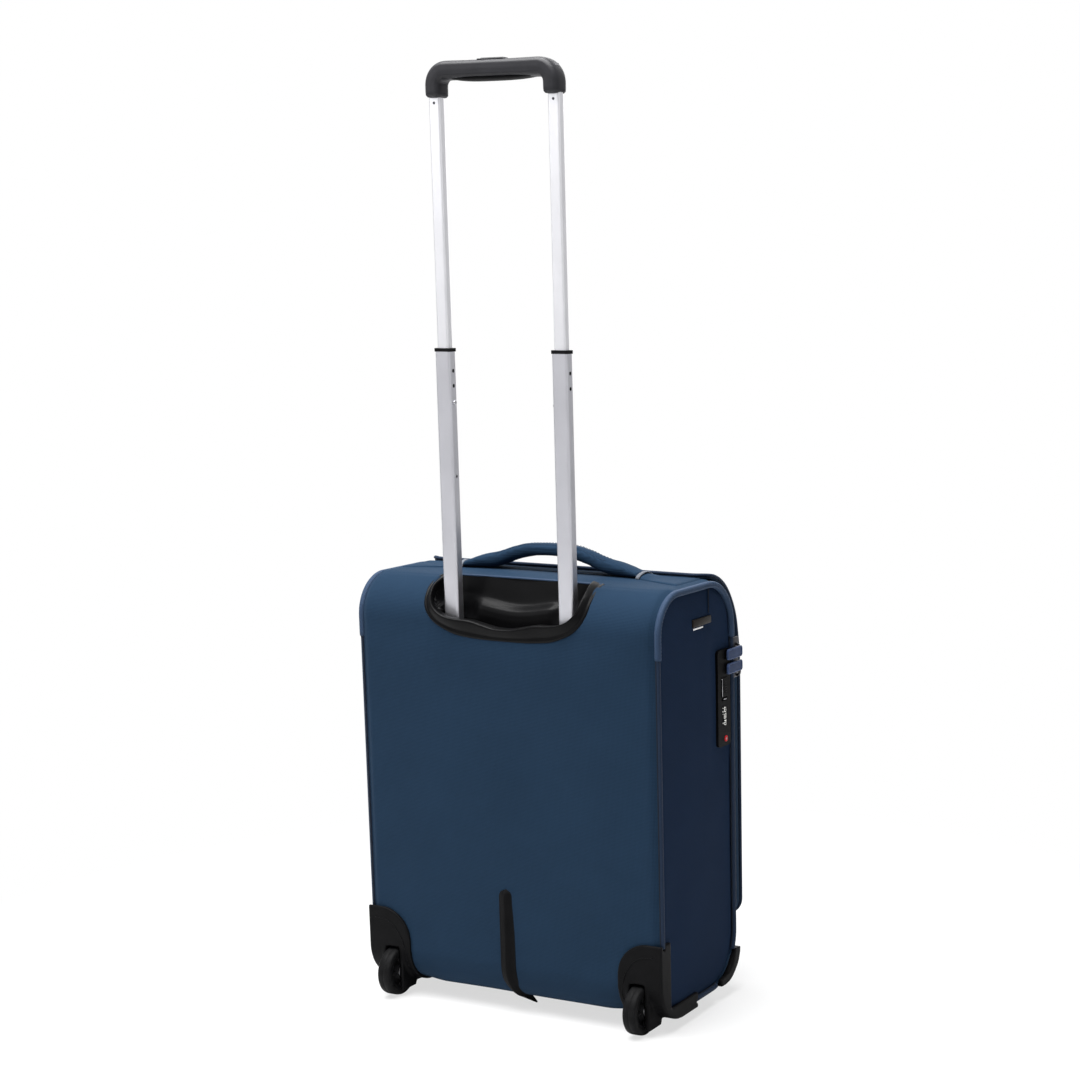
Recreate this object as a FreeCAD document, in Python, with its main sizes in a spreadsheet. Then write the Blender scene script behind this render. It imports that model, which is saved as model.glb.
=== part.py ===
import FreeCAD, Part
import os
import re
import Sketcher
from FreeCAD import Placement, Rotation, Vector

# Softside upright cabin suitcase with a two-stage trolley handle, two wheels and a zipped lid.
# Frame: X to the right seen from the front, the lid faces -Y, Z up, the floor is z = 0.
# The case is symmetrical about x = 0 apart from the lock, the zip sliders and the side tag.

DIMS = (
    # fabric case
    ("case_half_width", 198, "half the width of the fabric case"),
    ("case_front", -90, "front face of the fabric case"),
    ("case_back", 95, "back face of the fabric case"),
    ("case_bottom", 16, "underside of the fabric case"),
    ("case_top", 513, "top of the fabric case"),
    ("corner_back_top", 50, "corner radius, back to top"),
    ("corner_front_top", 62, "corner radius, front to top"),
    ("corner_front_bottom", 64, "corner radius, front to bottom"),
    ("corner_back_bottom", 45, "corner radius, back to bottom"),
    ("case_wall", 4, "thickness of padded fabric wall"),
    ("piping_radius", 3.5, "radius of the corded edge"),
    ("liner_back", 55, "back wall of the lining, in front of the handle tubes"),
    ("liner_gap", 2, "space for boards between case wall and lining"),
    ("liner_wall", 1, "thickness of the lining"),
    ("board_thick", 1.4, "thickness of a stiffening board"),
    # lid and main zip
    ("opening_half", 189.5, "half the width of the lid opening"),
    ("opening_bottom", 91, "lower edge of the lid opening"),
    ("opening_back", -36, "rear edge of the lid opening on the top panel"),
    ("lid_wall", 3, "thickness of the lid's fabric"),
    ("zip_case_offset", 12, "how far the case half of the zip stands forward"),
    ("zip_gap", 1.2, "gap between the two halves of the zip"),
    ("zip_lid_width", 2, "depth of the lid half of the zip"),
    ("lid_offset", 29, "how far the lid's front stands forward of the case"),
    ("lid_arc_less", 53, "corner radius of a lid layer less its forward offset"),
    ("pocket_half", 165, "half the width of the front pocket"),
    ("pocket_bottom", 112, "lower edge of the front pocket"),
    ("pocket_top", 405, "upper edge of the front pocket"),
    ("pocket_depth", 7, "how far the front pocket stands forward of the lid"),
    # zip sliders
    ("slider_length", 24, "length of a zip slider along the zip"),
    ("slider_meet", 411, "height at which the two sliders meet"),
    ("slider_pin_x", -200.6, "pin that carries the zip puller"),
    ("slider_pin_radius", 1.1, "radius of that pin"),
    ("puller_end", -66, "rear end of a zip puller"),
    # trolley handle
    ("tube_spacing", 155, "distance between the tube centres"),
    ("tube_y", 78, "tube centres, front to back"),
    ("outer_width", 24, "outer tube, along X"),
    ("outer_depth", 17.4, "outer tube, along Y"),
    ("outer_bottom", 48, "outer tube, lower end"),
    ("outer_top", 459, "outer tube, upper end"),
    ("mid_width", 20, "middle tube, along X"),
    ("mid_depth", 13, "middle tube, along Y"),
    ("mid_bottom", 405, "middle tube, lower end with the handle out"),
    ("mid_top", 773.5, "middle tube, upper end with the handle out"),
    ("inner_width", 15, "inner tube, along X"),
    ("inner_depth", 10, "inner tube, along Y"),
    ("inner_bottom", 705, "inner tube, lower end with the handle out"),
    ("inner_top", 1062, "inner tube, upper end inside the grip"),
    ("tube_wall", 1.2, "wall of the middle and inner tubes"),
    ("outer_wall", 1.4, "wall of the outer tubes"),
    ("mid_pin_z", 415, "lock pin of the middle stage"),
    ("inner_pin_z", 716, "lock pin of the inner stage"),
    ("pin_radius", 2.8, "radius of a lock pin"),
    # grip
    ("grip_half", 87, "half the width of the grip"),
    ("grip_leg", 21, "width of a grip leg"),
    ("grip_bottom", 1051, "lower end of the grip legs"),
    ("grip_under", 1070, "underside of the crossbar"),
    ("grip_top", 1091, "top of the crossbar"),
    ("grip_depth", 26, "grip, front to back"),
    ("grip_corner", 24, "outer corner radius of the grip"),
    ("button_half", 16.5, "half the length of the release button"),
    # handle cup
    ("cup_front", 57, "front wall of the handle cup, outer face"),
    ("cup_floor", 466, "floor of the handle cup"),
    ("cup_bottom", 447, "lowest edge of the cup's rim"),
    ("cup_rim", 9, "width of the cup's rim"),
    ("cup_proud", 2.5, "how far the rim stands out of the fabric"),
    # carry handle
    ("carry_half", 120, "half the span of the carry handle"),
    ("carry_top", 548, "top of the carry handle"),
    ("carry_under", 535, "underside of the carry handle in the middle"),
    ("carry_base", 521, "lower end of the carry handle's arch"),
    ("carry_width", 24, "carry handle, front to back"),
    ("carry_y", -15, "middle of the carry handle, front to back"),
    ("carry_inner_half", 80, "half the gap under the carry handle"),
    ("carry_pad_out", 130, "outer end of the pads under the carry handle"),
    ("carry_pad_half", 17, "half the depth of those pads"),
    # wheels
    ("wheel_x", 169.5, "centre of a wheel, sideways"),
    ("wheel_y", 91, "axle, front to back"),
    ("wheel_radius", 29.5, "radius of a wheel, and height of its axle"),
    ("wheel_width", 17.5, "width of a tyre"),
    ("hub_radius", 21, "radius of a wheel hub"),
    ("bearing_radius", 8, "outer radius of a wheel bearing"),
    ("bearing_thick", 5, "thickness of a wheel bearing"),
    ("bearing_bore", 4, "bore radius of a wheel bearing"),
    ("axle_radius", 3.95, "radius of a wheel axle"),
    ("housing_inner", 144, "inner edge of a wheel housing"),
    ("housing_thick", 4.5, "thickness of a wheel housing over the fabric"),
    ("housing_top", 110, "top of a wheel housing"),
    ("housing_flange_y", 76, "front edge of the housing's upright side flange"),
    ("housing_arm_y", 12, "front end of the housing's lower arm"),
    ("housing_arm_top", 30, "top of the housing's lower arm"),
    ("cheek_gap", 1.05, "gap between tyre and cheek"),
    ("cheek_thick", 4.2, "thickness of a wheel cheek"),
    # feet and skid
    ("foot_inner", 165, "inner edge of a front foot"),
    ("foot_thick", 5, "thickness of a front foot over the fabric"),
    ("post_inner", 140, "inner face of a standing post"),
    ("post_outer", 167, "outer face of a standing post"),
    ("skid_x", 5, "middle of the skid strip"),
    ("skid_width", 19, "width of the skid strip"),
    ("skid_thick", 5, "how far the skid stands out of the fabric"),
    ("skid_top", 151, "upper end of the skid strip"),
    ("skid_tip", 38, "front end of the skid strip"),
    # lock
    ("lock_front", -78, "front edge of the lock"),
    ("lock_rear", -47, "rear edge of the lock"),
    ("lock_bottom", 311, "lower end of the lock"),
    ("lock_top", 427, "upper end of the lock"),
    ("lock_proud", 3.5, "how far the lock stands out of the fabric"),
    ("lock_depth", 15.5, "depth of the lock's body inside the case"),
    ("dial_y", -62.5, "middle of the dials"),
    ("dial_x", -193.3, "dial axle"),
    ("dial_radius", 9, "radius of a dial"),
    ("dial_thick", 7, "thickness of a dial"),
    ("dial_pitch", 7.8, "spacing of the dials"),
    ("dial_z", 347.2, "middle dial"),
    ("dial_axle_radius", 1.5, "radius of the dial axle"),
    ("key_y", -66, "key cylinder, front to back"),
    ("key_z", 319.5, "key cylinder, height"),
    ("key_radius", 3.6, "radius of the key cylinder"),
    # small parts
    ("screw_radius", 1.8, "shank of a case screw"),
    ("screw_head", 3.5, "head of a case screw"),
)

doc = FreeCAD.newDocument("suitcase")
sheet = doc.addObject("Spreadsheet::Sheet", "Dims")
for row, (alias, number, note) in enumerate(DIMS, 1):
    sheet.set(f"A{row}", str(number))
    sheet.setAlias(f"A{row}", alias)
    sheet.set(f"B{row}", note)
doc.recompute()

ALIASES = {alias for alias, _, _ in DIMS}
PARTS = {}
SIDES = (("left", -1), ("right", 1))


def formula(text):
    """An expression over the sheet: each alias becomes a reference to its cell."""
    return re.sub(r"[a-z]\w*", lambda word: f"Dims.{word[0]}" if word[0] in ALIASES else word[0], str(text))


def number(text):
    """The present value of a formula."""
    return float(sheet.evalExpression(formula(text)))


def bind(obj, **properties):
    """Bind properties to formulas. A double underscore stands for a dot in the property's path."""
    for path, text in properties.items():
        obj.setExpression(path.replace("__", "."), formula(text))


def part(name, obj):
    """Make an object the finished sub-part of that name."""
    obj.Label = name
    PARTS[name] = obj
    return obj


def box(name, x, y, z):
    """A box between pairs of formulas, one pair for each axis."""
    obj = doc.addObject("Part::Box", name)
    bind(
        obj,
        Length=f"( {x[1]} ) - ( {x[0]} )",
        Width=f"( {y[1]} ) - ( {y[0]} )",
        Height=f"( {z[1]} ) - ( {z[0]} )",
        Placement__Base__x=x[0],
        Placement__Base__y=y[0],
        Placement__Base__z=z[0],
    )
    return obj


TURN = {"x": Rotation(Vector(0, 1, 0), 90), "y": Rotation(Vector(1, 0, 0), -90), "z": Rotation()}


def rod(name, axis, radius, start, length):
    """A cylinder that starts at a point and runs along +x, +y or +z."""
    obj = doc.addObject("Part::Cylinder", name)
    obj.Placement = Placement(Vector(), TURN[axis])
    bind(
        obj,
        Radius=radius,
        Height=length,
        Placement__Base__x=start[0],
        Placement__Base__y=start[1],
        Placement__Base__z=start[2],
    )
    return obj


def cut(name, base, *tools):
    """Base less one or more tools."""
    tool = tools[0]
    if len(tools) > 1:
        tool = fuse(f"{name}_tools", *tools)
    obj = doc.addObject("Part::Cut", name)
    obj.Base = base
    obj.Tool = tool
    return obj


def fuse(name, *shapes):
    obj = doc.addObject("Part::MultiFuse", name)
    obj.Shapes = list(shapes)
    return obj


def common(name, first, second):
    obj = doc.addObject("Part::Common", name)
    obj.Base = first
    obj.Tool = second
    return obj


def group(name, *shapes):
    """Several separate solids of one kind kept as one sub-part."""
    obj = doc.addObject("Part::Compound", name)
    obj.Links = list(shapes)
    return obj


def round_edges(name, base, axis, radius_at):
    """Fillet the straight edges along an axis. radius_at gives the radius for an edge's middle, or None."""
    doc.recompute()
    direction = {"x": Vector(1, 0, 0), "y": Vector(0, 1, 0), "z": Vector(0, 0, 1)}[axis]
    chosen = []
    for index, edge in enumerate(base.Shape.Edges, 1):
        ends = [vertex.Point for vertex in edge.Vertexes]
        if len(ends) < 2 or (ends[1] - ends[0]).cross(direction).Length > 1e-6:
            continue
        radius = radius_at((ends[0] + ends[1]) * 0.5)
        if radius:
            chosen.append((index, radius, radius))
    obj = doc.addObject("Part::Fillet", name)
    obj.Base = base
    obj.Edges = chosen
    return obj


def profile_block(name, x, grow):
    """The case's side profile between two x planes, its outline moved outwards by grow."""
    block = box(
        f"{name}_block",
        x,
        (f"case_front - ( {grow} )", f"case_back + ( {grow} )"),
        (f"case_bottom - ( {grow} )", f"case_top + ( {grow} )"),
    )
    middle = number("( case_front + case_back ) / 2")
    height = number("( case_bottom + case_top ) / 2")

    def radius_at(point):
        side = "back" if point.y > middle else "front"
        level = "top" if point.z > height else "bottom"
        return number(f"corner_{side}_{level} + ( {grow} )")

    return round_edges(name, block, "x", radius_at)


def bulge_block(name, x, offset, rise, bottom, rear):
    """A block in front of the case whose upper front edge is rounded towards the top panel."""
    block = box(
        f"{name}_block",
        x,
        (f"case_front - ( {offset} )", rear),
        (bottom, f"case_top + ( {rise} )"),
    )
    front = number(f"case_front - ( {offset} )")
    top = number(f"case_top + ( {rise} )")
    radius = number(f"lid_arc_less + ( {offset} )")

    def radius_at(point):
        at_front = abs(point.y - front) < 0.01
        at_top = abs(point.z - top) < 0.01
        return radius if at_front and at_top else None

    return round_edges(name, block, "x", radius_at)


def loop_path(body, name, x, inset):
    """A closed sketch of the side profile at one x plane, moved inwards by inset."""
    path = body.newObject("Sketcher::SketchObject", name)
    path.AttachmentSupport = (origin_plane(body, "YZ_Plane"), [""])
    path.MapMode = "FlatFace"
    bind(path, AttachmentOffset__Base__z=x)
    y0, y1 = f"case_front + {inset}", f"case_back - {inset}"
    z0, z1 = f"case_bottom + {inset}", f"case_top - {inset}"
    corners = (
        (y0, z0, "corner_front_bottom", 1, 1),
        (y1, z0, "corner_back_bottom", -1, 1),
        (y1, z1, "corner_back_top", -1, -1),
        (y0, z1, "corner_front_top", 1, -1),
    )
    arcs = []
    for y, z, radius, inward_y, inward_z in corners:
        r = number(f"{radius} - {inset}")
        centre = Vector(number(y) + inward_y * r, number(z) + inward_z * r, 0)
        start = {(1, 1): 180, (-1, 1): 270, (-1, -1): 0, (1, -1): 90}[(inward_y, inward_z)]
        circle = Part.Circle(centre, Vector(0, 0, 1), r)
        first = FreeCAD.Units.Quantity(start, "deg").getValueAs("rad").Value
        last = FreeCAD.Units.Quantity(start + 90, "deg").getValueAs("rad").Value
        arcs.append(path.addGeometry(Part.ArcOfCircle(circle, first, last)))
        path.setExpression(f"Constraints[{path.addConstraint(Sketcher.Constraint('Radius', arcs[-1], r))}]",
                           formula(f"{radius} - {inset}"))
        for kind, text, value in (
            ("DistanceX", f"{y} + {inward_y} * ( {radius} - {inset} )", centre.x),
            ("DistanceY", f"{z} + {inward_z} * ( {radius} - {inset} )", centre.y),
        ):
            index = path.addConstraint(Sketcher.Constraint(kind, -1, 1, arcs[-1], 3, value))
            path.setExpression(f"Constraints[{index}]", formula(text))
    geometry = path.Geometry
    for here, after in zip(arcs, arcs[1:] + arcs[:1]):
        ends = (geometry[here].EndPoint, geometry[after].StartPoint)
        line = path.addGeometry(Part.LineSegment(*ends))
        path.addConstraint(Sketcher.Constraint("Tangent", here, 2, line, 1))
        path.addConstraint(Sketcher.Constraint("Tangent", line, 2, after, 1))
    return path


def origin_plane(body, role):
    return next(plane for plane in body.Origin.OriginFeatures if plane.Role == role)


def cord_loop(name, x):
    """A round cord that follows the side profile at one x plane."""
    body = doc.addObject("PartDesign::Body", name)
    path = loop_path(body, f"{name}_path", x, "2.5")
    section = body.newObject("Sketcher::SketchObject", f"{name}_section")
    section.AttachmentSupport = (origin_plane(body, "XY_Plane"), [""])
    section.MapMode = "FlatFace"
    bind(section, AttachmentOffset__Base__z="( case_bottom + case_top ) / 2")
    centre = Vector(number(x), number("case_back - 2.5"), 0)
    circle = section.addGeometry(Part.Circle(centre, Vector(0, 0, 1), number("piping_radius")))
    rules = (
        (Sketcher.Constraint("Radius", circle, number("piping_radius")), "piping_radius"),
        (Sketcher.Constraint("DistanceX", -1, 1, circle, 3, centre.x), x),
        (Sketcher.Constraint("DistanceY", -1, 1, circle, 3, centre.y), "case_back - 2.5"),
    )
    for rule, text in rules:
        index = section.addConstraint(rule)
        section.setExpression(f"Constraints[{index}]", formula(text))
    doc.recompute()
    pipe = body.newObject("PartDesign::AdditivePipe", f"{name}_pipe")
    pipe.Profile = section
    pipe.Spine = path
    pipe.Mode = "Frenet"
    body.Tip = pipe
    return body


def rectangular_tube(name, x, z, width, depth, wall, corner):
    """An upright tube of rounded rectangular section."""
    shells = []
    for layer, inset in (("outside", "0"), ("inside", wall)):
        half_x = f"( {width} ) / 2 - {inset}"
        half_y = f"( {depth} ) / 2 - {inset}"
        block = box(
            f"{name}_{layer}_block",
            (f"{x} - ( {half_x} )", f"{x} + {half_x}"),
            (f"tube_y - ( {half_y} )", f"tube_y + {half_y}"),
            z,
        )
        radius = corner - number(inset)
        shells.append(round_edges(f"{name}_{layer}", block, "z", lambda point, r=radius: r))
    return cut(name, *shells)


def tube_x(side):
    return f"{side} * tube_spacing / 2"


def rect_ring(name, x, z, outer, inner):
    """A rectangular ring around a tube: outer and inner are (width, depth)."""
    blocks = []
    for layer, (width, depth) in (("outside", outer), ("inside", inner)):
        blocks.append(
            box(
                f"{name}_{layer}",
                (f"{x} - ( {width} ) / 2", f"{x} + ( {width} ) / 2"),
                (f"tube_y - ( {depth} ) / 2", f"tube_y + ( {depth} ) / 2"),
                z,
            )
        )
    return cut(name, *blocks)


def case_parts():
    """Fabric case, corded edges, boards, lining and the straps inside."""
    half = "case_half_width"
    inner = f"{half} - case_wall"
    outline = profile_block("case_outline", (f"-{half}", half), "0")
    hollow = profile_block("case_hollow", (f"-({inner})", inner), "-case_wall")
    opening = box(
        "case_opening",
        ("-opening_half", "opening_half"),
        ("case_front - 40", "opening_back"),
        ("opening_bottom", "case_top + 20"),
    )
    cords = [cord_loop(f"piping_{side}", f"{sign} * ( {half} + 0.5 )") for side, sign in SIDES]
    piping = part("side_piping", group("side_piping", *cords))
    cup_plug = cup_outline("case_cup_cut", "0", "cup_front", "case_back + 20")
    lock_hole = box(
        "case_lock_hole",
        ("-case_half_width - 1", "-case_half_width + case_wall + 1"),
        ("lock_front + 2.4", "lock_rear - 2.4"),
        ("lock_bottom + 2.4", "lock_top - 4.9"),
    )
    wells = [well_block(f"case_well_{side}", sign) for side, sign in SIDES]
    shanks = [screw[1] for screw in case_screw_set("case_shell_screw")]
    part(
        "case_shell",
        cut("case_shell", outline, hollow, opening, *cords, cup_plug, lock_hole, *wells, *shanks),
    )
    liner = f"{half} - case_wall - liner_gap"
    liner_in = f"{liner} - liner_wall"
    front = "case_front + case_wall + liner_gap"
    floor = "case_bottom + case_wall + liner_gap"
    roof = "case_top - case_wall - liner_gap"
    tub_outside = box("lining_outside", (f"-({liner})", liner), (front, "liner_back"), (floor, roof))
    tub_inside = box(
        "lining_inside",
        (f"-({liner_in})", liner_in),
        (f"{front} - 1", "liner_back - liner_wall"),
        (f"{floor} + liner_wall", f"{roof} - liner_wall"),
    )
    tub_fit = profile_block("lining_fit", (f"-({liner})", liner), "-case_wall - 1")
    window = box(
        "lining_lock_window",
        ("-case_half_width", f"-({liner_in}) + 1"),
        ("lock_front - 2", "lock_rear + 2"),
        ("lock_bottom - 2", "lock_top + 2"),
    )
    lining = cut("lining_cut", tub_outside, tub_inside, window)
    part("lining_tub", common("lining_tub", lining, tub_fit))
    part(
        "back_board",
        box("back_board", ("-186", "186"), ("case_back - case_wall - 2.4", "case_back - case_wall - 1"),
            ("housing_top + 2", "cup_bottom - 4")),
    )
    boards = []
    for side, sign in SIDES:
        near = f"{sign} * ( {inner} - 0.2 )"
        far = f"{sign} * ( {inner} - 0.2 - board_thick )"
        x = (near, far) if sign < 0 else (far, near)
        y = ("lock_rear + 4", "case_back - case_wall - 4")
        boards.append(box(f"side_board_{side}", x, y, ("80", "450")))
    part("side_boards", group("side_boards", *boards))
    straps = [
        box("strap_left", (f"-({liner_in}) + 0.2", "-22"), ("-80", "-78.6"), ("238", "263")),
        box("strap_right", ("22", f"{liner_in} - 0.2"), ("-80", "-78.6"), ("238", "263")),
    ]
    part("packing_straps", group("packing_straps", *straps))
    buckle = box("buckle_block", ("-22", "22"), ("-83", "-76"), ("232", "269"))
    part("strap_buckle", round_edges("strap_buckle", buckle, "y", lambda point: 6))
    return outline, piping


def case_screw_set(name):
    """Head and shank of each screw that holds the wheel housings and the tube base from inside."""
    screws = []
    wall_inside = "case_back - case_wall"
    for side, sign in SIDES:
        for index, (x, z) in enumerate((("174", "92"), ("190", "80"))):
            start = (f"{sign} * {x}", f"{wall_inside} - 2.6", z)
            head = rod(f"{name}_{side}_{index}_head", "y", "screw_head", start, "2.6")
            begin = (f"{sign} * {x}", wall_inside, z)
            shank = rod(f"{name}_{side}_{index}_shank", "y", "screw_radius", begin, "case_wall + 2.5")
            screws.append((head, shank))
        start = (f"{sign} * 40", "tube_y", "outer_bottom")
        head = rod(f"{name}_{side}_base_head", "z", "screw_head", start, "2.6")
        begin = (f"{sign} * 40", "tube_y", "outer_bottom - 20")
        shank = rod(f"{name}_{side}_base_shank", "z", "screw_radius", begin, "20")
        screws.append((head, shank))
    return screws


def case_screws():
    screws = [fuse(f"case_screw_{i}", *pair) for i, pair in enumerate(case_screw_set("case_screw"))]
    part("case_screws", group("case_screws", *screws))


def cup_outline(name, inset, y0, y1):
    """The cup's U shape seen from the back, moved inwards by inset, as a prism along Y."""
    body = doc.addObject("PartDesign::Body", name)
    sketch = body.newObject("Sketcher::SketchObject", f"{name}_sketch")
    sketch.AttachmentSupport = (origin_plane(body, "XZ_Plane"), [""])
    sketch.MapMode = "FlatFace"
    bind(sketch, AttachmentOffset__Base__z=f"-( {y1} )")
    low = f"cup_bottom + {inset}"
    corners = (
        (f"98 - {inset}", low),
        (f"107 - {inset}", "484"),
        (f"127 - {inset}", "case_top + 12"),
    )
    right = [(x, z) for x, z in corners]
    left = [(f"-( {x} )", z) for x, z in reversed(corners)]
    polygon(sketch, right + left)
    pad = body.newObject("PartDesign::Pad", f"{name}_pad")
    pad.Profile = sketch
    bind(pad, Length=f"( {y1} ) - ( {y0} )")
    doc.recompute()
    bend = body.newObject("PartDesign::Fillet", f"{name}_bend")
    lowest = number(low)
    chosen = [
        f"Edge{index}"
        for index, edge in enumerate(pad.Shape.Edges, 1)
        if all(abs(vertex.Z - lowest) < 0.01 for vertex in edge.Vertexes)
        and abs(edge.Vertexes[0].Y - edge.Vertexes[-1].Y) > 1
    ]
    bend.Base = (pad, chosen)
    bind(bend, Radius=f"34 - {inset}")
    body.Tip = bend
    return body


def polygon(sketch, corners):
    """A closed outline of straight lines whose corners are bound to the sheet."""
    points = [Vector(number(a), number(b), 0) for a, b in corners]
    count = len(points)
    for index, point in enumerate(points):
        sketch.addGeometry(Part.LineSegment(point, points[(index + 1) % count]))
    for index in range(count):
        sketch.addConstraint(Sketcher.Constraint("Coincident", index, 2, (index + 1) % count, 1))
    for index, (texts, point) in enumerate(zip(corners, points)):
        for kind, text, value in zip(("DistanceX", "DistanceY"), texts, (point.x, point.y)):
            rule = sketch.addConstraint(Sketcher.Constraint(kind, -1, 1, index, 1, value))
            sketch.setExpression(f"Constraints[{rule}]", formula(text))


def handle_cup():
    """The moulded recess that the trolley handle sinks into."""
    width = ("-150", "150")
    rim = profile_block("cup_rim_profile", width, "cup_proud")
    outside = cup_outline("cup_outside", "0", "cup_front", "case_back + 20")
    body = common("cup_body", outside, rim)
    recess = cut(
        "cup_recess",
        cup_outline("cup_inside", "cup_rim", "cup_front + 4", "case_back + 21"),
        box("cup_recess_floor", width, ("0", "200"), ("400", "cup_floor")),
    )
    below = ("cup_bottom - 2", "cup_floor - 4")
    under = box("cup_under", ("-92", "92"), ("cup_front + 4", "case_back - 7"), below)
    holes = [
        box(
            f"cup_hole_{side}",
            (f"{tube_x(sign)} - mid_width / 2 - 0.3", f"{tube_x(sign)} + mid_width / 2 + 0.3"),
            ("tube_y - mid_depth / 2 - 0.3", "tube_y + mid_depth / 2 + 0.3"),
            ("cup_floor - 6", "cup_floor + 1"),
        )
        for side, sign in SIDES
    ]
    part("handle_cup", cut("handle_cup", body, recess, under, *holes))


def outer_stage():
    """The fixed tubes inside the case, their guides and the base they stand on."""
    tubes = []
    guides = []
    for side, sign in SIDES:
        x = tube_x(sign)
        tube = rectangular_tube(
            f"outer_tube_{side}_blank", x, ("outer_bottom", "outer_top"), "outer_width", "outer_depth",
            "outer_wall", 3,
        )
        hole = pin_rod(f"outer_pin_hole_{side}", sign, "outer_width", "mid_pin_z", "pin_radius + 0.3")
        tubes.append(cut(f"outer_tube_{side}", tube, hole))
        guides.append(
            rect_ring(
                f"outer_guide_{side}", x, ("outer_top", "cup_floor - 4.2"),
                ("outer_width - 0.5", "outer_depth - 0.5"), ("mid_width + 0.3", "mid_depth + 0.3"),
            )
        )
    part("outer_tubes", group("outer_tubes", *tubes))
    part("outer_tube_guides", group("outer_tube_guides", *guides))
    base = box("base_block", ("-96", "96"), ("66", "89"), ("case_bottom + case_wall", "outer_bottom"))
    pegs = [
        box(
            f"base_peg_{side}",
            (f"{tube_x(sign)} - 9", f"{tube_x(sign)} + 9"),
            ("tube_y - 6", "tube_y + 6"),
            ("outer_bottom", "outer_bottom + 10"),
        )
        for side, sign in SIDES
    ]
    shanks = [screw[1] for screw in case_screw_set("base_screw") if "base" in screw[1].Name]
    fit = profile_block("base_fit", ("-100", "100"), "-case_wall - 0.2")
    block = common("base_inside", fuse("base_blank", base, *pegs), fit)
    part("tube_base", cut("tube_base", block, *shanks))


def pin_rod(name, sign, width, z, radius):
    """A short rod along X through the wall of a tube that faces the middle of the case."""
    x = f"{sign} * ( tube_spacing / 2 - ( {width} ) / 2 ) - 3"
    return rod(name, "x", radius, (x, "tube_y", z), "6")


def lock_spring(name, sign, tube_width, pin_z, tip):
    """A leaf spring with a domed pin that reaches through the tube's inward wall."""
    wall = f"tube_spacing / 2 - ( {tube_width} ) / 2"
    inside = f"{wall} + tube_wall + 0.1"
    near, far = f"{sign} * ( {inside} )", f"{sign} * ( {inside} + 0.8 )"
    leaf_x = (near, far) if sign > 0 else (far, near)
    leaf = box(f"{name}_leaf", leaf_x, ("tube_y - 3", "tube_y + 3"), (f"{pin_z} - 7", f"{pin_z} + 7"))
    reach = f"{inside} + 0.4 - ( {tip} )"
    start = f"{sign} * ( {tip} )" if sign > 0 else f"-( {inside} + 0.4 )"
    pin = rod(f"{name}_pin", "x", "pin_radius", (start, "tube_y", pin_z), reach)
    outer_face = number(f"{sign} * ( {tip} )")

    doc.recompute()
    rim = [
        (index, 1.2, 1.2)
        for index, edge in enumerate(pin.Shape.Edges, 1)
        if abs(edge.CenterOfMass.x - outer_face) < 0.01
    ]
    dome = doc.addObject("Part::Fillet", f"{name}_dome")
    dome.Base = pin
    dome.Edges = rim
    return fuse(name, leaf, dome)


def stage_foot(name, sign, tube, z, bore_gap, spigot_top):
    """A plastic guide at the lower end of a tube: a collar below it and a slotted spigot inside it."""
    x = tube_x(sign)
    width, depth, outer_inside_width, outer_inside_depth = tube
    collar = box(
        f"{name}_collar",
        (f"{x} - ( {outer_inside_width} ) / 2 + {bore_gap}",
         f"{x} + ( {outer_inside_width} ) / 2 - {bore_gap}"),
        (f"tube_y - ( {outer_inside_depth} ) / 2 + {bore_gap}",
         f"tube_y + ( {outer_inside_depth} ) / 2 - {bore_gap}"),
        (f"{z} - 6", z),
    )
    collar = round_edges(f"{name}_collar_rounded", collar, "z", lambda point: 2)
    inside_x = f"( {width} ) / 2 - tube_wall - 0.15"
    inside_y = f"( {depth} ) / 2 - tube_wall - 0.15"
    spigot = box(
        f"{name}_spigot",
        (f"{x} - ( {inside_x} )", f"{x} + {inside_x}"),
        (f"tube_y - ( {inside_y} )", f"tube_y + {inside_y}"),
        (z, spigot_top),
    )
    rounded = round_edges(f"{name}_rounded", spigot, "z", lambda point: 1.5)
    wall = f"tube_spacing / 2 - ( {width} ) / 2 + tube_wall"
    near, far = f"{sign} * ( {wall} - 0.5 )", f"{sign} * ( {wall} + 3 )"
    slot_x = (near, far) if sign > 0 else (far, near)
    slot = box(f"{name}_slot", slot_x, ("tube_y - 3.4", "tube_y + 3.4"), (f"{z} + 1", f"{spigot_top} + 1"))
    return cut(name, fuse(f"{name}_blank", collar, rounded), slot)


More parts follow.
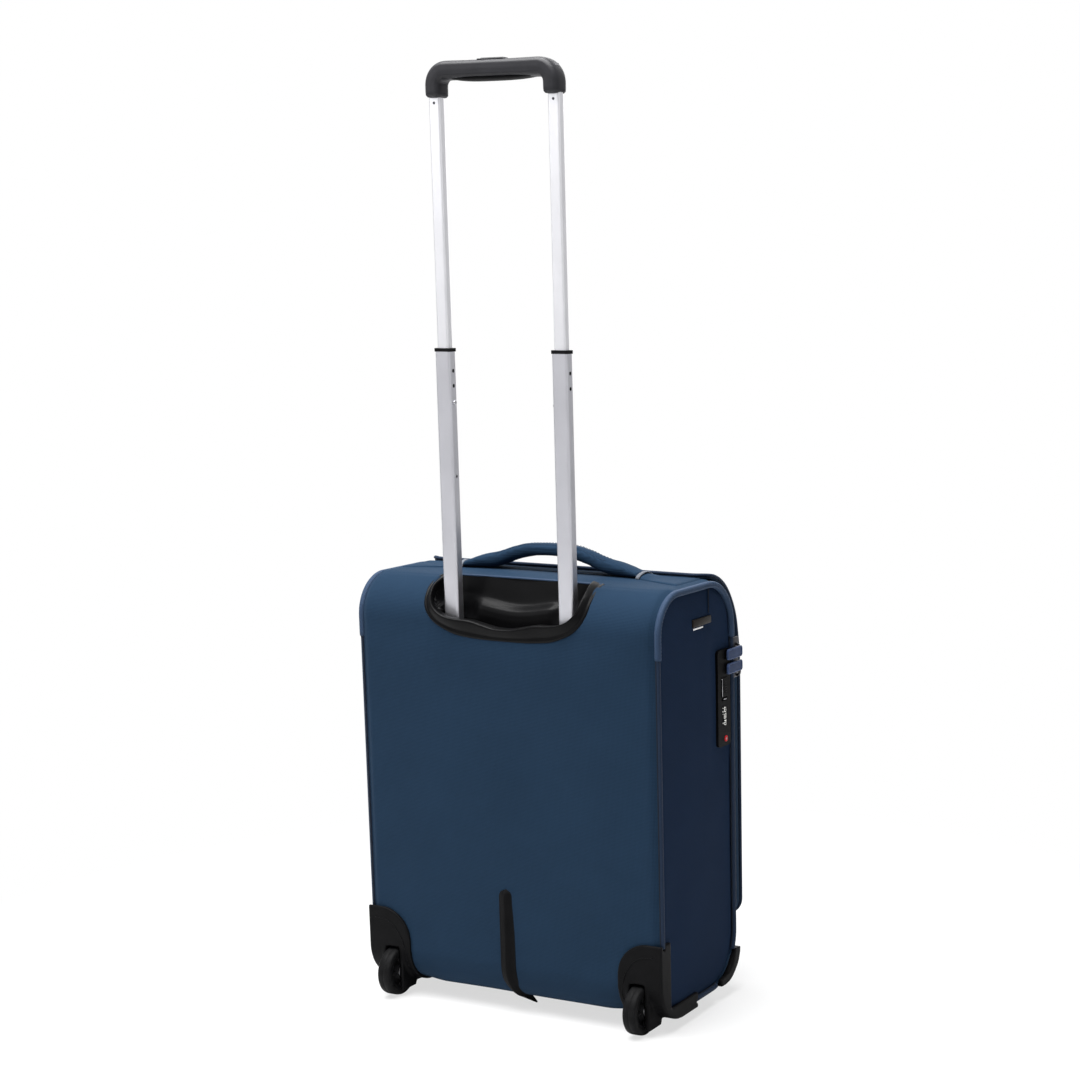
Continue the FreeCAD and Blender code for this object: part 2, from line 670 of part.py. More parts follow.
def middle_stage():
    """The tubes that slide in the fixed ones, with collars, plugs, guides and lock springs."""
    collars = []
    plugs = []
    springs = []
    feet = []
    outer_inside = ("outer_width - 2 * outer_wall", "outer_depth - 2 * outer_wall")
    for side, sign in SIDES:
        x = tube_x(sign)
        tube = rectangular_tube(
            f"mid_tube_{side}_blank", x, ("mid_bottom", "mid_top"), "mid_width", "mid_depth", "tube_wall", 3,
        )
        holes = [
            pin_rod(f"mid_hole_{side}_{index}", sign, "mid_width", z, "pin_radius + 0.2")
            for index, z in enumerate(("mid_pin_z", "inner_pin_z"))
        ]
        stop = pin_rod(f"mid_stop_hole_{side}", sign, "mid_width", "632", "1.8")
        outward = f"{x} - mid_width / 2"
        plug_holes = []
        for index, z in enumerate(("752", "735")):
            start = (outward, "tube_y", z)
            plugs.append(rod(f"mid_plug_{side}_{index}", "x", "2.2", start, "tube_wall"))
            begin = (f"{outward} - 1", "tube_y", z)
            plug_holes.append(rod(f"mid_plug_hole_{side}_{index}", "x", "2.2", begin, "tube_wall + 1"))
        part(f"mid_tube_{side}", cut(f"mid_tube_{side}", tube, *holes, stop, *plug_holes))
        collars.append(
            rect_ring(
                f"mid_collar_{side}", x, ("mid_top", "mid_top + 4"),
                ("mid_width + 0.4", "mid_depth + 0.4"), ("inner_width + 0.3", "inner_depth + 0.3"),
            )
        )
        springs.append(
            lock_spring(f"mid_lock_spring_{side}", sign, "mid_width", "mid_pin_z",
                        "tube_spacing / 2 - outer_width / 2 + 0.2")
        )
        feet.append(
            stage_foot(f"mid_guide_{side}", sign, ("mid_width", "mid_depth", *outer_inside), "mid_bottom",
                       "0.15", "mid_pin_z + 11")
        )
    part("mid_tube_collars", group("mid_tube_collars", *collars))
    part("mid_tube_plugs", group("mid_tube_plugs", *plugs))
    part("mid_lock_springs", group("mid_lock_springs", *springs))
    part("mid_tube_guides", group("mid_tube_guides", *feet))


def inner_stage():
    """The thin upper tubes, their guides and their lock springs."""
    springs = []
    feet = []
    pins = []
    mid_inside = ("mid_width - 2 * tube_wall", "mid_depth - 2 * tube_wall")
    back = "tube_y + inner_depth / 2"
    for side, sign in SIDES:
        x = tube_x(sign)
        tube = rectangular_tube(
            f"inner_tube_{side}_blank", x, ("inner_bottom", "inner_top"), "inner_width", "inner_depth",
            "tube_wall", 2.4,
        )
        hole = pin_rod(f"inner_hole_{side}", sign, "inner_width", "inner_pin_z", "pin_radius + 0.2")
        start = (x, f"{back} - tube_wall", "grip_bottom - 4")
        pins.append(rod(f"grip_pin_{side}", "y", "1.6", start, "tube_wall"))
        rivet_hole = rod(f"inner_rivet_hole_{side}", "y", "1.6", start, "tube_wall + 1")
        part(f"inner_tube_{side}", cut(f"inner_tube_{side}", tube, hole, rivet_hole))
        springs.append(
            lock_spring(f"inner_lock_spring_{side}", sign, "inner_width", "inner_pin_z",
                        "tube_spacing / 2 - mid_width / 2 - 2")
        )
        sizes = ("inner_width", "inner_depth", *mid_inside)
        feet.append(
            stage_foot(f"inner_guide_{side}", sign, sizes, "inner_bottom", "0.15", "inner_pin_z + 12")
        )
    part("inner_lock_springs", group("inner_lock_springs", *springs))
    part("inner_tube_guides", group("inner_tube_guides", *feet))
    part("grip_rivets", group("grip_rivets", *pins))


def grip():
    """The pull grip with its lower insert, release button and the rods the button pushes."""
    y = ("tube_y - grip_depth / 2", "tube_y + grip_depth / 2")
    block = box("grip_block", ("-grip_half", "grip_half"), y, ("grip_bottom", "grip_top"))
    top = number("grip_top")

    def outer_radius(point):
        return number("grip_corner") if abs(point.z - top) < 0.01 else None

    outside = round_edges("grip_outside", block, "y", outer_radius)
    gap = box("grip_gap_block", ("-grip_half + grip_leg", "grip_half - grip_leg"),
              ("tube_y - 20", "tube_y + 20"), ("grip_bottom - 10", "grip_under"))
    under = number("grip_under")
    inside = round_edges("grip_gap", gap, "y", lambda point: 7 if abs(point.z - under) < 0.01 else None)
    sockets = []
    channels = []
    for side, sign in SIDES:
        x = tube_x(sign)
        sockets.append(
            box(
                f"grip_socket_{side}",
                (f"{x} - inner_width / 2 - 0.05", f"{x} + inner_width / 2 + 0.05"),
                ("tube_y - inner_depth / 2 - 0.05", "tube_y + inner_depth / 2 + 0.05"),
                ("grip_bottom - 1", "inner_top"),
            )
        )
        channels.append(rod(f"grip_channel_{side}", "z", "2.4", (x, "tube_y", "inner_top - 1"), "20"))
    hall = box("grip_hall", ("-81.5", "81.5"), ("tube_y - 5", "tube_y + 5"), ("1075.6", "1085.4"))
    mouth = box("grip_mouth", ("-button_half - 0.2", "button_half + 0.2"),
                ("tube_y - 6.7", "tube_y + 6.7"), ("1080", "grip_top + 1"))
    part("grip_shell", cut("grip_shell", outside, inside, *sockets, *channels, hall, mouth))
    depth = ("tube_y - 9", "tube_y + 9")
    insert = box("insert_block", ("-56", "56"), depth, ("grip_under - 3.5", "grip_under"))
    low = number("grip_under - 3.5")
    corner = lambda p: 3.3 if abs(p.z - low) < 0.01 else None
    part("grip_insert", round_edges("grip_insert", insert, "y", corner))
    button = box("button_block", ("-button_half", "button_half"), ("tube_y - 6.5", "tube_y + 6.5"),
                 ("1084.6", "grip_top + 2.5"))
    part("grip_button", round_edges("grip_button", button, "z", lambda point: 3))
    yoke = box("release_yoke", ("-80.5", "80.5"), ("tube_y - 3.5", "tube_y + 3.5"), ("1080.4", "1084.6"))
    rods = [
        rod(f"release_rod_{side}", "z", "1.8", (tube_x(sign), "tube_y", "inner_pin_z + 16"),
            "1082 - inner_pin_z - 16")
        for side, sign in SIDES
    ]
    part("release_rods", fuse("release_rods", yoke, *rods))


def well_block(name, sign):
    """The outside of a wheel well, which also fills the hole in the case."""
    half = "wheel_width / 2 + cheek_gap + cheek_thick"
    return box(
        name,
        (f"{sign} * wheel_x - ( {half} )", f"{sign} * wheel_x + {half}"),
        ("wheel_y - wheel_radius - 6", "case_back + housing_thick"),
        ("case_bottom - 4", "2 * wheel_radius + 7"),
    )


def wheels(outline, piping):
    """Corner housings, axles, and for each wheel its tyre, hub and bearings."""
    axles = []
    for side, sign in SIDES:
        inner_x, outer_x = f"{sign} * housing_inner", f"{sign} * ( case_half_width + housing_thick )"
        x = (outer_x, inner_x) if sign < 0 else (inner_x, outer_x)
        skin = profile_block(f"housing_skin_{side}", x, "housing_thick")
        window = box(f"housing_keep_{side}", x, ("housing_arm_y", "case_back + 20"), ("0", "housing_top"))
        front = box(f"housing_front_{side}", x, ("-200", "housing_flange_y"), ("housing_arm_top", "400"))
        corner = common(f"housing_corner_{side}", skin, window)
        inner_edge = number(inner_x)
        lifted = number("housing_top")
        shaped = round_edges(
            f"housing_shape_{side}", corner, "y",
            lambda p, e=inner_edge: 40 if abs(p.x - e) < 0.01 and abs(p.z - lifted) < 0.01 else None,
        )
        cover = cut(f"housing_cover_{side}", shaped, front, outline)
        blank = fuse(f"housing_blank_{side}", cover, well_block(f"housing_well_{side}", sign))
        tyre_half = "wheel_width / 2 + cheek_gap"
        well_x = (f"{sign} * wheel_x - ( {tyre_half} )", f"{sign} * wheel_x + {tyre_half}")
        length = f"2 * ( {tyre_half} )"
        middle = (well_x[0], "wheel_y", "wheel_radius")
        arch = rod(f"housing_arch_{side}", "x", "wheel_radius + 2.5", middle, length)
        behind = ("wheel_y", "wheel_y + 60")
        rear = box(f"housing_rear_{side}", well_x, behind, ("-10", "2 * wheel_radius + 2.5"))
        below = box(f"housing_below_{side}", well_x, ("wheel_y - wheel_radius - 2.5", "wheel_y + 60"),
                    ("-10", "wheel_radius"))
        axle_half = "wheel_width / 2 + cheek_gap + cheek_thick"
        start = (f"{sign} * wheel_x - ( {axle_half} )", "wheel_y", "wheel_radius")
        axle_length = f"2 * ( {axle_half} )"
        axle_hole = rod(f"housing_axle_hole_{side}", "x", "axle_radius", start, axle_length)
        shanks = [
            screw[1] for screw in case_screw_set(f"housing_screw_{side}") if f"{side}_0" in screw[1].Name
            or f"{side}_1" in screw[1].Name
        ]
        part(
            f"wheel_housing_{side}",
            cut(f"wheel_housing_{side}", blank, arch, rear, below, axle_hole, piping, *shanks),
        )
        axles.append(rod(f"axle_{side}", "x", "axle_radius", start, axle_length))
        wheel(side, sign)
    part("wheel_axles", group("wheel_axles", *axles))


def wheel(side, sign):
    centre = ("wheel_y", "wheel_radius")

    def disc(name, radius, half):
        start = (f"{sign} * wheel_x - ( {half} )", *centre)
        return rod(name, "x", radius, start, f"2 * ( {half} )")

    half = "wheel_width / 2"
    blank = cut(f"tyre_ring_{side}", disc(f"tyre_disc_{side}", "wheel_radius", half),
                disc(f"tyre_bore_{side}", "hub_radius", f"{half} + 1"))
    doc.recompute()
    outer = [
        (index, 3.5, 3.5)
        for index, edge in enumerate(blank.Shape.Edges, 1)
        if len(edge.Vertexes) == 1 and abs(edge.Length - 2 * 3.14159265 * number("wheel_radius")) < 0.1
    ]
    tyre = doc.addObject("Part::Fillet", f"tyre_{side}")
    tyre.Base = blank
    tyre.Edges = outer
    part(f"tyre_{side}", tyre)
    hub_half = f"{half} - 0.4"
    seats = []
    rings = []
    for index, end in enumerate((-1, 1)):
        face = f"{sign} * wheel_x + {end} * ( {hub_half} )"
        begin = face if end < 0 else f"{face} - bearing_thick"
        seat = f"bearing_seat_{side}_{index}"
        seats.append(rod(seat, "x", "bearing_radius", (begin, *centre), "bearing_thick"))
        ring = rod(f"bearing_disc_{side}_{index}", "x", "bearing_radius", (begin, *centre), "bearing_thick")
        bore = rod(f"bearing_bore_{side}_{index}", "x", "bearing_bore", (begin, *centre), "bearing_thick")
        rings.append(cut(f"bearing_{side}_{index}", ring, bore))
    core = disc(f"hub_core_{side}", "bearing_bore + 1", f"{half} + 1")
    blank = disc(f"hub_disc_{side}", "hub_radius", hub_half)
    part(f"wheel_hub_{side}", cut(f"wheel_hub_{side}", blank, core, *seats))
    part(f"wheel_bearings_{side}", group(f"wheel_bearings_{side}", *rings))


def feet_and_skid(outline, piping):
    """Corner bumpers at the front and the skid strip in the middle of the back."""
    outer = "case_half_width + foot_thick"
    for side, sign in SIDES:
        ends = (f"{sign} * foot_inner", f"{sign} * ( {outer} )")
        x = ends if sign > 0 else ends[::-1]
        skin = profile_block(f"foot_skin_{side}", x, "foot_thick")
        window = box(f"foot_window_{side}", x, ("-96", "-50"), ("5", "56"))
        patch = common(f"foot_patch_{side}", skin, window)
        post_ends = (f"{sign} * post_inner", f"{sign} * post_outer")
        post_x = post_ends if sign > 0 else post_ends[::-1]
        post = box(f"foot_post_{side}", post_x, ("-80", "-52"), ("0", "34"))
        rounded = round_edges(
            f"foot_rounded_{side}", post, "x", lambda p: 8 if p.z < 1 and p.y < -70 else None,
        )
        plate_ends = (f"{sign} * post_inner", f"{sign} * foot_inner")
        plate_x = plate_ends if sign > 0 else plate_ends[::-1]
        plate_skin = profile_block(f"foot_plate_skin_{side}", plate_x, "foot_thick")
        plate_window = box(f"foot_plate_window_{side}", plate_x, ("-84", "-50"), ("5", "46"))
        plate = common(f"foot_plate_{side}", plate_skin, plate_window)
        blank = fuse(f"foot_blank_{side}", patch, plate, rounded)
        part(f"front_foot_{side}", cut(f"front_foot_{side}", blank, outline, piping))
    x = ("skid_x - skid_width / 2", "skid_x + skid_width / 2")
    reach = "case_back + skid_thick - skid_tip"
    strip = box("skid_strip_block", x, ("case_back", "case_back + skid_thick"), (reach, "skid_top"))
    disc = rod("skid_disc", "x", reach, (x[0], "skid_tip", reach), "skid_width")
    window = box("skid_window", x, ("skid_tip", "case_back + 20"), ("-5", reach))
    quarter = common("skid_quarter", disc, window)
    part("skid_strip", cut("skid_strip", fuse("skid_blank", strip, quarter), outline))


def lock():
    """Combination lock on the left side: housing, three dials, axle, release button and key cylinder."""
    face = "-case_half_width - lock_proud"
    depth = ("lock_front", "lock_rear")
    flange = box("lock_flange_block", (face, "-case_half_width"), depth, ("lock_bottom", "lock_top"))
    plate = round_edges("lock_flange", flange, "x", lambda point: 5)
    body = box("lock_body", ("-case_half_width", "-case_half_width + lock_depth"),
               ("lock_front + 2.5", "lock_rear - 2.5"), ("lock_bottom + 2.5", "lock_top - 5"))
    low = "dial_z - dial_pitch - dial_thick / 2 - 0.4"
    height = "2 * dial_pitch + dial_thick + 0.8"
    dial_room = rod("lock_dial_room", "z", "dial_radius + 0.3", ("dial_x", "dial_y", low), height)
    axle_start = ("dial_x", "dial_y", f"{low} - 3")
    axle_hole = rod("lock_axle_hole", "z", "dial_axle_radius", axle_start, f"{height} + 6")
    key_hole = rod("lock_key_hole", "x", "key_radius + 0.05", (f"{face} - 1", "key_y", "key_z"), "12")
    button_room = box("lock_button_room", (f"{face} - 1", "-198.5"), ("-69", "-56"), ("366", "394"))
    blank = fuse("lock_blank", plate, body)
    part("lock_housing", cut("lock_housing", blank, dial_room, axle_hole, key_hole, button_room))
    part("dial_axle", rod("dial_axle", "z", "dial_axle_radius", axle_start, f"{height} + 6"))
    for index in range(3):
        z = f"dial_z + {1 - index} * dial_pitch - dial_thick / 2"
        disc = rod(f"dial_disc_{index + 1}", "z", "dial_radius", ("dial_x", "dial_y", z), "dial_thick")
        foot = ("dial_x", "dial_y", z)
        bore = rod(f"dial_bore_{index + 1}", "z", "dial_axle_radius + 0.05", foot, "dial_thick")
        part(f"dial_{index + 1}", cut(f"dial_{index + 1}", disc, bore))
    press = box("lock_release", (f"{face} - 0.7", "-198.7"), ("-68.8", "-56.2"), ("370.4", "393.6"))
    part("lock_release", press)
    part("key_cylinder", rod("key_cylinder", "x", "key_radius", (f"{face} - 0.5", "key_y", "key_z"), "11"))


def bulge_ring(name, x_half, inner_half, outer, inner, bottom_wall):
    """A U-shaped wall in front of the case between two bulged outlines, each (offset, rise)."""
    solid = bulge_block(f"{name}_outer", (f"-({x_half})", x_half), *outer, f"opening_bottom - {bottom_wall}",
                        "opening_back - 0.5")
    rear = bulge_block(f"{name}_inner", ("-230", "230"), *inner, "0", "opening_back + 6")
    middle = box(f"{name}_middle", (f"-({inner_half})", inner_half), ("case_front - 60", "0"),
                 ("opening_bottom", "case_top + 30"))
    return cut(name, solid, rear, middle)


def lid(outline, piping):
    """The lid with its pocket and lining, both halves of the main zip and the fabric hinge."""
    x_half = "opening_half + lid_wall"
    collar_solid = bulge_block("zip_case_outer", (f"-({x_half})", x_half), "zip_case_offset", "2",
                               "opening_bottom - lid_wall", "opening_back + 3")
    mouth = box("zip_case_mouth", ("-opening_half", "opening_half"), ("case_front - 60", "opening_back"),
                ("opening_bottom", "case_top + 30"))
    part("zip_chain_case", cut("zip_chain_case", collar_solid, mouth, outline, piping))
    lid_start = "zip_case_offset + zip_gap + zip_lid_width"
    part(
        "zip_chain_lid",
        bulge_ring("zip_chain_lid", x_half, "opening_half", (lid_start, "3.2"),
                   ("zip_case_offset + zip_gap", "2.6"), "lid_wall"),
    )
    tray = bulge_block("lid_outer", (f"-({x_half})", x_half), "lid_offset", "5",
                       "opening_bottom - lid_wall", "opening_back - 0.5")
    hollow = bulge_block("lid_hollow", ("-opening_half", "opening_half"), "lid_offset - lid_wall", "2.5",
                         "opening_bottom", "opening_back + 6")
    rear = bulge_block("lid_rear", ("-230", "230"), lid_start, "3.2", "0", "opening_back + 6")
    part("lid_panel", cut("lid_panel", tray, hollow, rear))
    part(
        "lid_lining",
        box("lid_lining", ("-185", "185"), ("case_front - lid_offset + 3.6", "case_front - lid_offset + 4.6"),
            ("opening_bottom + 5", "430")),
    )
    pocket = box("pocket_block", ("-pocket_half", "pocket_half"),
                 ("case_front - lid_offset - pocket_depth", "case_front - lid_offset"),
                 ("pocket_bottom", "pocket_top"))
    part("front_pocket", round_edges("front_pocket", pocket, "y", lambda point: 25))
    lid_face = "case_front - lid_offset"
    slider = box("pocket_slider_body", ("-150", "-134"), (f"{lid_face} - 4.2", f"{lid_face} - 0.2"),
                 ("pocket_top + 1", "pocket_top + 8"))
    tab = box("pocket_slider_tab", ("-156", "-150"), (f"{lid_face} - 3", f"{lid_face} - 1"),
              ("pocket_top + 2.5", "pocket_top + 6.5"))
    part("pocket_slider", fuse("pocket_slider", slider, tab))
    part(
        "lid_hinge_gusset",
        box("lid_hinge_gusset", (f"{x_half} + 0.3", f"{x_half} + 1.3"), ("-111", "-94"), ("120", "430")),
    )


def zip_sliders():
    """The two sliders of the main zip and the flat pullers hinged on them."""
    chain = "opening_half + lid_wall"
    seam = "case_front - zip_case_offset - zip_gap / 2"
    for name, sign in (("upper", 1), ("lower", -1)):
        near, far = "slider_meet + 1", "slider_meet + 1 + slider_length"

        def span(low, high, s=sign):
            """A height range counted from the near end of the slider."""
            if s > 0:
                return (f"{near} + {low}", f"{near} + {high}")
            return (f"2 * slider_meet - ( {near} + {high} )", f"2 * slider_meet - ( {near} + {low} )")

        top_plate = box(f"slider_{name}_plate", (f"-({chain}) - 4.5", f"-({chain}) - 0.9"),
                        (f"{seam} - 6.4", f"{seam} + 5.6"), span("0", "slider_length"))
        post = box(f"slider_{name}_post", (f"-({chain}) - 0.9", "-opening_half + 0.6"),
                   (f"{seam} - 0.4", f"{seam} + 0.4"), span("12", "22"))
        inner_plate = box(f"slider_{name}_inner", ("-opening_half + 0.6", "-opening_half + 2.1"),
                          (f"{seam} - 5.4", f"{seam} + 4.6"), span("0", "slider_length"))
        posts = [
            box(f"slider_{name}_lug_{index}", ("slider_pin_x - slider_pin_radius", f"-({chain}) - 4.5"),
                (f"{seam} - slider_pin_radius", f"{seam} + slider_pin_radius"), span(low, high))
            for index, (low, high) in enumerate((("1", "3"), ("12", "14")))
        ]
        pin_span = span("1", "14")
        pin = rod(f"slider_{name}_pin", "z", "slider_pin_radius", ("slider_pin_x", seam, pin_span[0]), "13")
        part(f"zip_slider_{name}", fuse(f"zip_slider_{name}", top_plate, post, inner_plate, *posts, pin))
        eye_span = span("3.6", "11.4")
        foot = ("slider_pin_x", seam, eye_span[0])
        eye = rod(f"puller_{name}_eye", "z", "slider_pin_radius + 1.5", foot, "7.8")
        bore = rod(f"puller_{name}_bore", "z", "slider_pin_radius + 0.06", foot, "7.8")
        tab = box(f"puller_{name}_tab", ("slider_pin_x - 4.6", "slider_pin_x - 2.2"), (seam, "puller_end"),
                  span("1", "14"))
        part(f"zip_puller_{name}", cut(f"zip_puller_{name}", fuse(f"puller_{name}_blank", eye, tab), bore))


def carry_handle():
    """The padded top handle: a flat arch between two anchor pads."""
    y = ("carry_y - carry_width / 2", "carry_y + carry_width / 2")
    outer_rise = "( carry_top - carry_base )"
    outer_radius = f"( carry_half * carry_half + {outer_rise} * {outer_rise} ) / ( 2 * {outer_rise} )"
    inner_half = "carry_inner_half"
    inner_rise = "( carry_under - carry_base )"
    inner_radius = f"( {inner_half} * {inner_half} + {inner_rise} * {inner_rise} ) / ( 2 * {inner_rise} )"
    middle = ("0", y[0], f"carry_top - {outer_radius}")
    outside = rod("carry_outside", "y", outer_radius, middle, "carry_width")
    under = ("0", f"{y[0]} - 1", f"carry_under - {inner_radius}")
    inside = rod("carry_inside", "y", inner_radius, under, "carry_width + 2")
    span = box("carry_span", ("-carry_half", "carry_half"), y, ("carry_base", "carry_top + 5"))
    part("carry_handle", cut("carry_handle", common("carry_arch", outside, span), inside))
    pads = []
    for side, sign in SIDES:
        ends = (f"{sign} * carry_inner_half", f"{sign} * carry_pad_out")
        x = ends if sign > 0 else ends[::-1]
        y = ("carry_y - carry_pad_half", "carry_y + carry_pad_half")
        pads.append(box(f"anchor_{side}", x, y, ("case_top", "case_top + 4")))
    part("handle_anchor_pads", group("handle_anchor_pads", *pads))


def side_tag():
    x = ("-case_half_width - 2.4", "-case_half_width")
    block = box("side_tag_block", x, ("-33", "11"), ("460", "471.5"))
    part("side_tag", round_edges("side_tag", block, "x", lambda point: 2))


def check_and_export():
    doc.recompute()
    for obj in doc.Objects:
        if "Invalid" in obj.State or "Error" in obj.State:
            raise RuntimeError(f"{obj.Label} failed: {obj.State}")
    for name, obj in PARTS.items():
        if obj.Shape.isNull() or not obj.Shape.isValid() or not obj.Shape.Solids:
            raise RuntimeError(f"{name} has no valid solid")
    os.makedirs("parts", exist_ok=True)
    for name, obj in PARTS.items():
        obj.Shape.exportStep(f"parts/{name}.step")


case_outline, side_piping = case_parts()
case_screws()
handle_cup()
outer_stage()
middle_stage()
inner_stage()
grip()
wheels(case_outline, side_piping)
feet_and_skid(case_outline, side_piping)
lock()
lid(case_outline, side_piping)
zip_sliders()
carry_handle()
side_tag()
check_and_export()
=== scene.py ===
import math
import bmesh
import bpy
import numpy as np
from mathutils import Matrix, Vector, noise


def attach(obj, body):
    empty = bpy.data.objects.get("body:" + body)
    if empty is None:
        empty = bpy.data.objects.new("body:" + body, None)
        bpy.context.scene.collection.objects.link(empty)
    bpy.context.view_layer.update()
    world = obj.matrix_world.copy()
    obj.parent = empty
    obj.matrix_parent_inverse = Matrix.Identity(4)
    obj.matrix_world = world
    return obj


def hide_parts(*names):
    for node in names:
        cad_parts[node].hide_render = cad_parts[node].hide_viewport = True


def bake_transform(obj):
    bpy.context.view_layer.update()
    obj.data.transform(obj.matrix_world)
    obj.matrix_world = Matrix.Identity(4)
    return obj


# The looks of the softside suitcase. Lengths are millimetres in the row frame:
# x to the right seen from the front, the lid faces -y, z is up and the floor is z = 0.

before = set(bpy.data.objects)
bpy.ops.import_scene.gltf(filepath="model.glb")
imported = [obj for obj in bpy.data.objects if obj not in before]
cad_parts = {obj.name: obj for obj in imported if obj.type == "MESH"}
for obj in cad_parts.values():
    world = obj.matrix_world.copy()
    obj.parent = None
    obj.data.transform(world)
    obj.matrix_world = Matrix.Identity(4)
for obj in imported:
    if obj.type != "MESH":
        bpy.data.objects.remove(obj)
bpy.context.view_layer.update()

MM = 0.001
SIDES = (("left", -1), ("right", 1))
HALF_WIDTH = 198.0      # from the middle of the case to the fabric of either side
TOP = 513.0             # height of the top panel
TUBE_Y = 78.0           # plane of the trolley handle
CARRY_Y = -15.0         # plane of the carry handle
LID_OPENING = 189.5     # half width of the opening under the lid


# ---------------------------------------------------------------- materials
def rgb(red, green, blue):
    """A colour given as it shows on a screen, 0 to 255, as linear light."""
    def linear(value):
        value = value / 255
        return value / 12.92 if value <= 0.04045 else ((value + 0.055) / 1.055) ** 2.4
    return (linear(red), linear(green), linear(blue), 1)


def shade(colour, factor, lift=0.0):
    """The same colour made lighter or darker."""
    return tuple(c * factor + lift for c in colour[:3]) + (1,)


class Shader:
    """A small helper that adds and links nodes of one material."""

    def __init__(self, name):
        self.material = bpy.data.materials.new(name)
        self.material.use_nodes = True
        self.tree = self.material.node_tree
        self.tree.nodes.clear()
        self.output = self.node("ShaderNodeOutputMaterial")
        self.surface = self.node("ShaderNodeBsdfPrincipled")
        self.link(self.surface.outputs[0], self.output.inputs["Surface"])

    def node(self, kind, **values):
        made = self.tree.nodes.new(kind)
        for key, value in values.items():
            if key in made.inputs.keys():
                made.inputs[key].default_value = value
            else:
                setattr(made, key, value)
        return made

    def link(self, source, target):
        self.tree.links.new(source, target)

    def feed(self, socket, value):
        """Give an input a link or a plain value."""
        if hasattr(value, "links"):
            self.link(value, socket)
        else:
            socket.default_value = value

    def set(self, name, value):
        self.feed(self.surface.inputs[name], value)

    def place(self, layout="object"):
        """Coordinates in millimetres: of the object, or of the piece's own unrolled surface."""
        source = self.node("ShaderNodeTexCoord").outputs["UV" if layout == "uv" else "Object"]
        if layout == "uv":
            return source
        scaled = self.node("ShaderNodeVectorMath", operation="SCALE")
        scaled.inputs["Scale"].default_value = 1000
        self.link(source, scaled.inputs[0])
        return scaled.outputs[0]

    def noise(self, place, scale, detail=3, rough=0.5):
        made = self.node("ShaderNodeTexNoise", Scale=scale, Detail=detail, Roughness=rough)
        self.link(place, made.inputs["Vector"])
        return made.outputs["Fac"]

    def math(self, operation, *values):
        made = self.node("ShaderNodeMath", operation=operation)
        for socket, value in zip(made.inputs, values):
            self.feed(socket, value)
        return made.outputs[0]

    def add(self, first, second):
        return self.math("ADD", first, second)

    def times(self, first, second):
        return self.math("MULTIPLY", first, second)

    def ramp(self, fac, low, high):
        """0 at the low value and 1 at the high one."""
        made = self.node("ShaderNodeMapRange")
        made.inputs["From Min"].default_value = low
        made.inputs["From Max"].default_value = high
        self.link(fac, made.inputs["Value"])
        return made.outputs[0]

    def mix(self, fac, first, second):
        made = self.node("ShaderNodeMix", data_type="RGBA")
        factor, colour_a, colour_b = made.inputs[0], made.inputs[6], made.inputs[7]
        for socket, value in ((factor, fac), (colour_a, first), (colour_b, second)):
            self.feed(socket, value)
        return made.outputs[2]

    def cloudy(self, fac, colour, spread):
        """The colour drifting between a darker and a lighter tone."""
        return self.mix(self.ramp(fac, 0.3, 0.7), shade(colour, 1 - spread), shade(colour, 1 + spread))

    def bump(self, height, strength, distance):
        made = self.node("ShaderNodeBump", Strength=strength, Distance=distance)
        self.link(height, made.inputs["Height"])
        self.link(made.outputs[0], self.surface.inputs["Normal"])

    def split(self, vector):
        made = self.node("ShaderNodeSeparateXYZ")
        self.link(vector, made.inputs[0])
        return made.outputs


def woven(name, colour, pitch=3.2, layout="uv", sheen=0.05, contrast=0.35, relief=0.35):
    """Heavy polyester weave: a lozenge pattern of raised threads, with soft uneven dyeing."""
    s = Shader(name)
    place = s.place(layout)
    u, v, w = s.split(place)
    if layout == "object":
        u = s.add(u, w)
        v = s.add(v, s.times(w, 0.5))
    turn = 2 * math.pi / pitch
    plus = s.math("SINE", s.times(s.add(u, v), turn))
    minus = s.math("SINE", s.times(s.math("SUBTRACT", u, v), turn))
    lozenge = s.times(plus, minus)
    thread = s.math("SINE", s.times(v, turn * 2.7))
    height = s.add(lozenge, s.times(thread, 0.3))
    drift = s.noise(place, 0.012, 4)
    fuzz = s.noise(place, 1.1, 2, 0.7)
    base = s.mix(s.ramp(lozenge, -0.7, 0.7), shade(colour, 1 - contrast), shade(colour, 1 + contrast))
    s.set("Base Color", s.mix(0.45, base, s.cloudy(drift, colour, 0.12)))
    s.set("Roughness", s.add(s.times(fuzz, 0.2), 0.62))
    s.set("Sheen Weight", sheen)
    s.set("Sheen Roughness", 0.45)
    s.set("Sheen Tint", (0.55, 0.68, 0.85, 1))
    s.set("Specular IOR Level", 0.02)
    s.bump(s.add(height, s.times(fuzz, 0.8)), relief, 0.0002)
    return s.material


def ribbed(name, colour, pitch=1.1, sheen=0.1):
    """Tape, cord and webbing: fine ribs across the run of the piece."""
    s = Shader(name)
    place = s.place("uv")
    side, run, _ = s.split(place)
    rib = s.math("SINE", s.times(run, 2 * math.pi / pitch))
    yarn = s.math("SINE", s.times(s.add(side, run), 2 * math.pi / (pitch * 0.8)))
    fuzz = s.noise(place, 0.9, 3)
    tone = s.add(s.times(rib, 0.2), s.times(fuzz, 0.7))
    s.set("Base Color", s.mix(s.ramp(tone, 0.0, 0.8), shade(colour, 0.75), shade(colour, 1.25)))
    s.set("Roughness", s.add(s.times(fuzz, 0.25), 0.5))
    s.set("Specular IOR Level", 0.1)
    s.set("Sheen Weight", sheen)
    s.set("Sheen Tint", (0.6, 0.7, 0.85, 1))
    s.bump(s.add(rib, s.times(yarn, 0.6)), 0.3, 0.0002)
    return s.material


